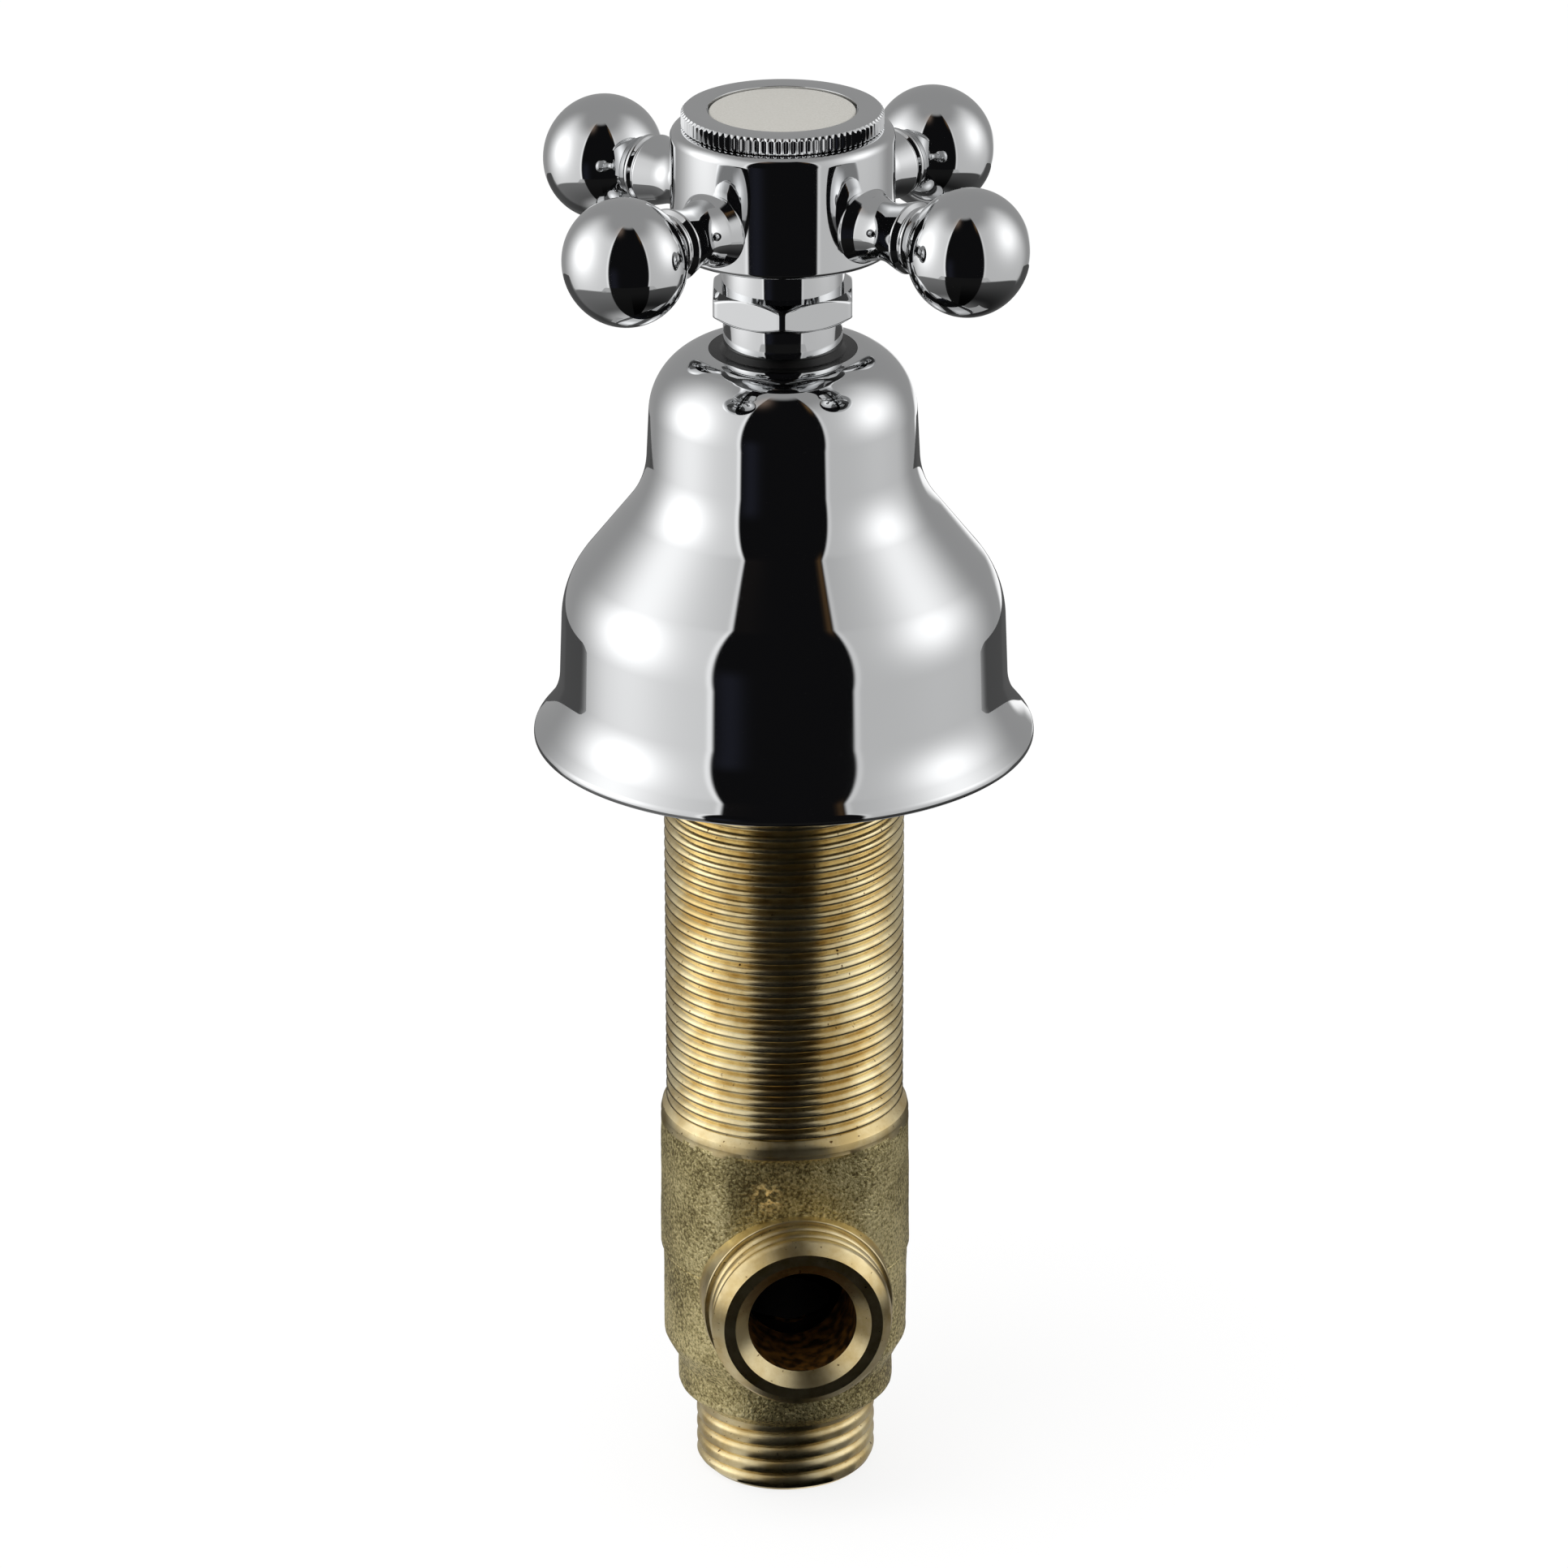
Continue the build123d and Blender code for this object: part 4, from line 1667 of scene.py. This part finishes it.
@dataclass
class Tent:
    """The studio's walls, ceiling and dark front as reflections see them, all round."""

    azimuth: float = 6.1
    reach: float = 0.8
    centre: float = 0.03
    ceiling: float = 0.35
    gap_left: float = -34.8
    gap_right: float = 34.6
    gap_top: float = 76.0
    gap_edge: Point = (-1.6, 0.7)
    gap_light: tuple[float, float, float] = (0.0055, 0.0055, 0.00605)
    left_wall: Softbox = Softbox(
        inner=35.0,
        rim_level=0.25,
        outer=(98, 142),
        top=(40, 70),
        level=0.46,
        spot_level=1.15,
        spot_azimuth=86,
        spot_elevation=12,
        spot_width=17,
        spot_height=18,
    )
    right_wall: Softbox = Softbox(
        inner=34.6,
        rim_level=0.14,
        outer=(108, 136),
        top=(42, 68),
        level=0.27,
        spot_level=0.92,
        spot_azimuth=88,
        spot_elevation=20,
        spot_width=17,
        spot_height=16,
    )
    card_level: float = 0.8
    card_aside: tuple[float, float, float, float] = (148, 154, 172, 178)
    card_up: Point = (-6, -14)
    warm: Glow = Glow(-34, 9, 68, 6, (0.16, 0.1152, 0.088))
    glint: Glow = Glow(32.5, 1.5, 58, 6, (0.12, 0.066, 0.024))
    cold_light: tuple[float, float, float] = (0.008, 0.0088, 0.0144)
    cold_aside: Point = (-27, 5)
    cold_up: Point = (12, -6)
    step: float = 2.0
    fine_lines: tuple[float, ...] = (-38.5, -35.0, 34.6, 38.0)
    fine_step: float = 0.4
    fine_reach: int = 7

    def build(self) -> bpy.types.Object:
        """Makes the tent, with its light stored at its points.

        Returns:
            The tent.
        """
        asides = self.lines(-180.0, 180.0, self.fine_lines)
        ups = self.lines(-90.0, 90.0, (self.gap_top,))
        verts, lights = [], []
        for up in ups:
            for aside in asides[:-1]:
                verts.append(self.point(aside, up))
                lights.append(self.light(aside, up))
        return glowing_grid("studio_tent", verts, lights, len(asides) - 1)

    @classmethod
    def lines(cls, start: float, end: float, fine: Sequence[float]) -> list[float]:
        """Spaces a grid's lines evenly, and closer together beside the fine ones.

        Args:
            start: The first angle, in degrees.
            end: The last angle.
            fine: The angles with more lines beside them.

        Returns:
            The angles in order.
        """
        count = round((end - start) / cls.step)
        angles = {start + cls.step * number for number in range(count + 1)}
        for centre in fine:
            near = range(-cls.fine_reach, cls.fine_reach + 1)
            angles |= {centre + cls.fine_step * number for number in near}
        return sorted(angles)

    def point(self, aside: float, up: float) -> tuple[float, float, float]:
        """Finds the tent's point in a direction.

        Args:
            aside: Degrees off the camera's side, positive to its right.
            up: Degrees above the level.

        Returns:
            The point, in metres.
        """
        climb = math.radians(up)
        across, ahead = camera_side(aside, self.reach * math.cos(climb))
        return across, ahead, self.centre + math.sin(climb) * self.reach

    def light(self, aside: float, up: float) -> Vector:
        """Gives the light from a direction: walls, ceiling, rear card or the dark gap in front.

        Args:
            aside: Degrees off the camera's side, positive to its right.
            up: Degrees above the level.

        Returns:
            Its linear red, green and blue.
        """
        wall = self.left_wall.light(-aside, up) if aside < 0 else self.right_wall.light(aside, up)
        start, full, fading, end = self.card_aside
        card = self.card_level * rise(aside, start, full) * rise(aside, end, fading)
        level = self.ceiling + wall + card * rise(up, *self.card_up)
        below, above = self.gap_edge
        gap = rise(aside, self.gap_left + below, self.gap_left + above)
        gap *= rise(aside, self.gap_right - below, self.gap_right - above)
        gap *= rise(up, self.gap_top + 4, self.gap_top - 4)
        white = Vector((level, level, level))
        cold = bump_at(aside, *self.cold_aside) * rise(up, *self.cold_up)
        light = (1 - gap) * white + gap * Vector(self.gap_light) + cold * Vector(self.cold_light)
        return light + self.warm.light(aside, up) + self.glint.light(aside, up)


@dataclass
class Table:
    """The table as reflections see it: darker than the walls, which stand on it.

    It is paler close to the valve and at its front corners, and dark at its rear corners.
    """

    height: float = -92.0
    near: float = 250.0
    front_corner: float = 315.0
    far: float = 390.0
    left: float = 0.19
    right: float = 0.075
    front: float = 0.01
    under_left: float = 0.6
    under_right: float = 0.12
    close_left: float = 0.5
    close_right: float = 0.12
    corner: float = 0.5
    rear_corner: float = 0.08
    rear: float = 0.1
    # Degrees off the camera's side over which one part of the table gives way to the next.
    front_turn: Point = (52, 42)
    far_turn: Point = (114, 122)
    side_turn: Point = (34, 36)
    rear_turn: Point = (112, 124)
    behind_turn: Point = (146, 152)
    under_span: Point = (60, 230)
    close_span: Point = (95, 20)
    rim: float = 10.0
    rings: int = 24
    # The innermost ring, as a share of the table, so that the grid keeps its hole.
    innermost: float = 0.002

    def build(self) -> bpy.types.Object:
        """Makes the table, with its light stored at its points.

        Returns:
            The table.
        """
        asides = Tent.lines(-180.0, 180.0, Tent.fine_lines)
        verts, lights = [], []
        for ring in range(self.rings + 1):
            for aside in asides[:-1]:
                out = self.edge(aside) * max(ring / self.rings, self.innermost)
                across, ahead = camera_side(aside, out * MM)
                verts.append((across, ahead, self.height * MM))
                lights.append((self.light(aside, out),) * 3)
        return glowing_grid("studio_table", verts, lights, len(asides) - 1)

    def edge(self, aside: float) -> float:
        """Finds how far the table reaches.

        Args:
            aside: Degrees off the camera's side.

        Returns:
            The distance from the valve's axis.
        """
        off = abs(aside)
        corner = (self.front_corner - self.near) * rise(off, *self.front_turn)
        return self.near + corner + (self.far - self.near) * rise(off, *self.far_turn)

    def light(self, aside: float, out: float) -> float:
        """Gives the table's light at a place.

        Args:
            aside: Degrees off the camera's side, positive to its right.
            out: The distance from the valve's axis.

        Returns:
            The light.
        """
        off = abs(aside)
        if aside < 0:
            side, under, close = self.left, self.under_left, self.close_left
        else:
            side, under, close = self.right, self.under_right, self.close_right
        side += (self.corner - side) * rise(out, self.near - self.rim, self.near)
        sideways = rise(off, *self.side_turn)
        level = self.front + (side - self.front) * sideways
        level += (self.rear_corner - level) * rise(off, *self.rear_turn)
        level += (self.rear - level) * rise(off, *self.behind_turn)
        level *= under + (1 - under) * rise(out, *self.under_span)
        return level + close * rise(out, *self.close_span) * sideways


def camera_side(aside: float, reach: float) -> Point:
    """Returns a place by its azimuth, in degrees from the camera's side to its right."""
    turn = math.radians(aside - Tent.azimuth)
    return reach * math.sin(turn), -reach * math.cos(turn)


def bare_material(name: str) -> tuple[bpy.types.Material, bpy.types.NodeTree]:
    """Makes an empty material for a part of the studio, whose glow is no lamp.

    Args:
        name: The material's name.

    Returns:
        The material and its empty node tree.
    """
    material = bpy.data.materials.new(name)
    material.use_nodes = True
    material.cycles.emission_sampling = "NONE"
    material.node_tree.nodes.clear()
    return material, material.node_tree


def glowing_grid(
    name: str,
    verts: Sequence[tuple[float, float, float]],
    lights: Sequence[Sequence[float]],
    count: int,
) -> bpy.types.Object:
    """Makes a part of the studio that glows by the light stored at its points.

    Args:
        name: The part's name.
        verts: Its points, row by row, in metres.
        lights: The linear light of each point.
        count: The number of points in a row, which closes on itself.

    Returns:
        The part, seen by reflections only.
    """
    faces = []
    for row in range(len(verts) // count - 1):
        for step in range(count):
            after = (step + 1) % count
            here, there = row * count, (row + 1) * count
            faces.append((here + step, here + after, there + after, there + step))
    mesh = bpy.data.meshes.new(name)
    mesh.from_pydata(verts, [], faces)
    stored = mesh.color_attributes.new("light", "FLOAT_COLOR", "POINT")
    for entry, light in zip(stored.data, lights, strict=True):
        entry.color = (*light, 1.0)
    material, tree = bare_material(name)
    colour = add_node(tree, "ShaderNodeAttribute", attribute_name="light")
    glow = add_node(tree, "ShaderNodeEmission", {"Color": colour.outputs["Color"]})
    add_node(tree, "ShaderNodeOutputMaterial", {"Surface": glow.outputs["Emission"]})
    mesh.materials.append(material)
    part = mesh_object(name, mesh)
    only_reflected(part)
    return part


def only_reflected(obj: bpy.types.Object) -> None:
    """Lets only reflections see a part of the studio.

    Args:
        obj: The part.
    """
    obj.visible_camera = False
    obj.visible_diffuse = False
    obj.visible_shadow = False
    obj.visible_transmission = False


@dataclass
class Studio:
    """Soft studio: a white floor and background, soft light, and a tent for the reflections."""

    floor: float = -92.4
    floor_reach: float = 3000.0
    floor_colour: str = "#fbfbfb"
    # The share of plain white in what the camera sees; the rest keeps the valve's soft shadow.
    floor_white: float = 0.8
    floor_glow: float = 1.03
    sky_level: float = 0.8
    # The pale sheet's corners, to the camera's right and towards it.
    sheet: tuple[Point, ...] = ((-55, 6), (52, 6), (62, 14), (75, -60), (-55, -60))
    sheet_lift: float = 0.6
    sheet_level: float = 0.38
    # The lamp's place and size are in metres and its power is in watts.
    lamp_at: tuple[float, float, float] = (-0.35, -0.25, 1.2)
    lamp_size: float = 0.9
    lamp_power: float = 6.0

    def build(self) -> None:
        """Sets up the view, the world, the floor, the tent and the lamp."""
        bpy.context.scene.view_settings.view_transform = "Standard"
        self.build_world()
        self.build_floor()
        Tent().build()
        Table().build()
        self.build_sheet()
        self.build_lamp()

    def build_world(self) -> None:
        """Makes the sky: white to the camera and in reflections, plain soft light elsewhere."""
        world = bpy.data.worlds.new("studio_sky")
        world.use_nodes = True
        tree = world.node_tree
        tree.nodes.clear()
        path = add_node(tree, "ShaderNodeLightPath")
        seen = add_node(
            tree,
            "ShaderNodeMath",
            {0: path.outputs["Is Camera Ray"], 1: path.outputs["Is Glossy Ray"]},
            operation="MAXIMUM",
        )
        shown = add_node(
            tree,
            "ShaderNodeMath",
            {0: seen.outputs["Value"], 1: path.outputs["Is Transmission Ray"]},
            operation="MAXIMUM",
        )
        strength = add_node(
            tree,
            "ShaderNodeMapRange",
            {"Value": shown.outputs["Value"], "To Min": self.sky_level, "To Max": 1.0},
        )
        light = add_node(
            tree,
            "ShaderNodeBackground",
            {"Color": linear("#ffffff"), "Strength": strength.outputs["Result"]},
        )
        add_node(tree, "ShaderNodeOutputWorld", {"Surface": light.outputs["Background"]})
        bpy.context.scene.world = world

    def build_floor(self) -> None:
        """Makes the white floor, which keeps the valve's soft shadow."""
        reach = self.floor_reach * MM
        z = self.floor * MM
        mesh = bpy.data.meshes.new("floor")
        mesh.from_pydata(
            [(-reach, -reach, z), (reach, -reach, z), (reach, reach, z), (-reach, reach, z)],
            [],
            [(0, 1, 2, 3)],
        )
        floor = mesh_object("floor", mesh)
        floor.visible_glossy = False
        material, tree = bare_material("white_paper")
        path = add_node(tree, "ShaderNodeLightPath")
        share = add_node(
            tree,
            "ShaderNodeMath",
            {0: path.outputs["Is Camera Ray"], 1: self.floor_white},
            operation="MULTIPLY",
        )
        paper = add_node(tree, "ShaderNodeBsdfDiffuse", {"Color": linear(self.floor_colour)})
        glow = add_node(
            tree,
            "ShaderNodeEmission",
            {"Color": linear("#ffffff"), "Strength": self.floor_glow},
        )
        mixed = add_node(
            tree,
            "ShaderNodeMixShader",
            {0: share.outputs["Value"], 1: paper.outputs["BSDF"], 2: glow.outputs["Emission"]},
        )
        add_node(tree, "ShaderNodeOutputMaterial", {"Surface": mixed.outputs["Shader"]})
        floor.data.materials.append(material)

    def build_sheet(self) -> None:
        """Makes the pale sheet that lies under and behind the valve, seen by reflections only."""
        turn = math.radians(Tent.azimuth)
        toward = Vector((-math.sin(turn), -math.cos(turn)))
        right = Vector((math.cos(turn), -math.sin(turn)))
        verts = []
        for across, ahead in self.sheet:
            spot = (right * across + toward * ahead) * MM
            verts.append((spot.x, spot.y, (self.floor + self.sheet_lift) * MM))
        mesh = bpy.data.meshes.new("pale_sheet")
        mesh.from_pydata(verts, [], [tuple(range(len(verts)))])
        sheet = mesh_object("pale_sheet", mesh)
        material, tree = bare_material("pale_sheet")
        light = add_node(
            tree,
            "ShaderNodeEmission",
            {"Color": linear("#ffffff"), "Strength": self.sheet_level},
        )
        add_node(tree, "ShaderNodeOutputMaterial", {"Surface": light.outputs["Emission"]})
        mesh.materials.append(material)
        only_reflected(sheet)

    def build_lamp(self) -> None:
        """Makes the soft lamp overhead that gives the shadow, unseen by reflections."""
        data = bpy.data.lights.new("soft_lamp", "AREA")
        data.shape = "DISK"
        data.size = self.lamp_size
        data.energy = self.lamp_power
        lamp = bpy.data.objects.new("soft_lamp", data)
        lamp.location = self.lamp_at
        lamp.rotation_mode = "QUATERNION"
        lamp.rotation_quaternion = (-Vector(lamp.location)).to_track_quat("-Z", "Y")
        lamp.visible_glossy = False
        bpy.context.scene.collection.objects.link(lamp)


@dataclass
class KeptNodes:
    """The frame's nodes whose own shape is shown, with their finishes."""

    finishes: Finishes

    def build(self) -> None:
        """Dresses every node that stays."""
        for material, names in self.groups():
            for name in names:
                dress(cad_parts[name], material)
                log.info("dressed %s in %s", name, material.name)

    def groups(self) -> list[tuple[bpy.types.Material, tuple[str, ...]]]:
        """Returns each finish with the nodes that have it."""
        kit = self.finishes
        return [
            (
                kit.rubber,
                (
                    "bonnet_seal_ring",
                    "lower_spindle_o_ring",
                    "upper_spindle_o_ring",
                    "plug_o_ring",
                    "seat_washer",
                ),
            ),
            (kit.turned, ("spindle", "spline_bush", "thrust_washer")),
            # The inner parts are painted shade, near black.
            (kit.painted_shade, ("guide_sleeve", "plug_carrier", "washer_cup", "washer_screw")),
            (kit.steel, ("handle_screw", "handle_screw_washer", "spindle_circlip")),
        ]


def main() -> None:
    """Builds the valve's pieces, the studio and the camera."""
    logging.basicConfig(level=logging.INFO, format="%(name)s: %(message)s")
    finishes = Finishes()
    KeptNodes(finishes).build()
    makers = (
        ValveBody(finishes),
        BellEscutcheon(finishes),
        CentringRing(finishes),
        Headwork(finishes),
        CrossHandle(finishes),
        CapRing(finishes),
        IndexDisc(finishes),
    )
    for maker in makers:
        piece = maker.build()
        log.info("%s: %d faces", piece.name, len(piece.data.polygons))
    Studio().build()
    PhotoCamera().build()


if __name__ == "__main__":
    main()
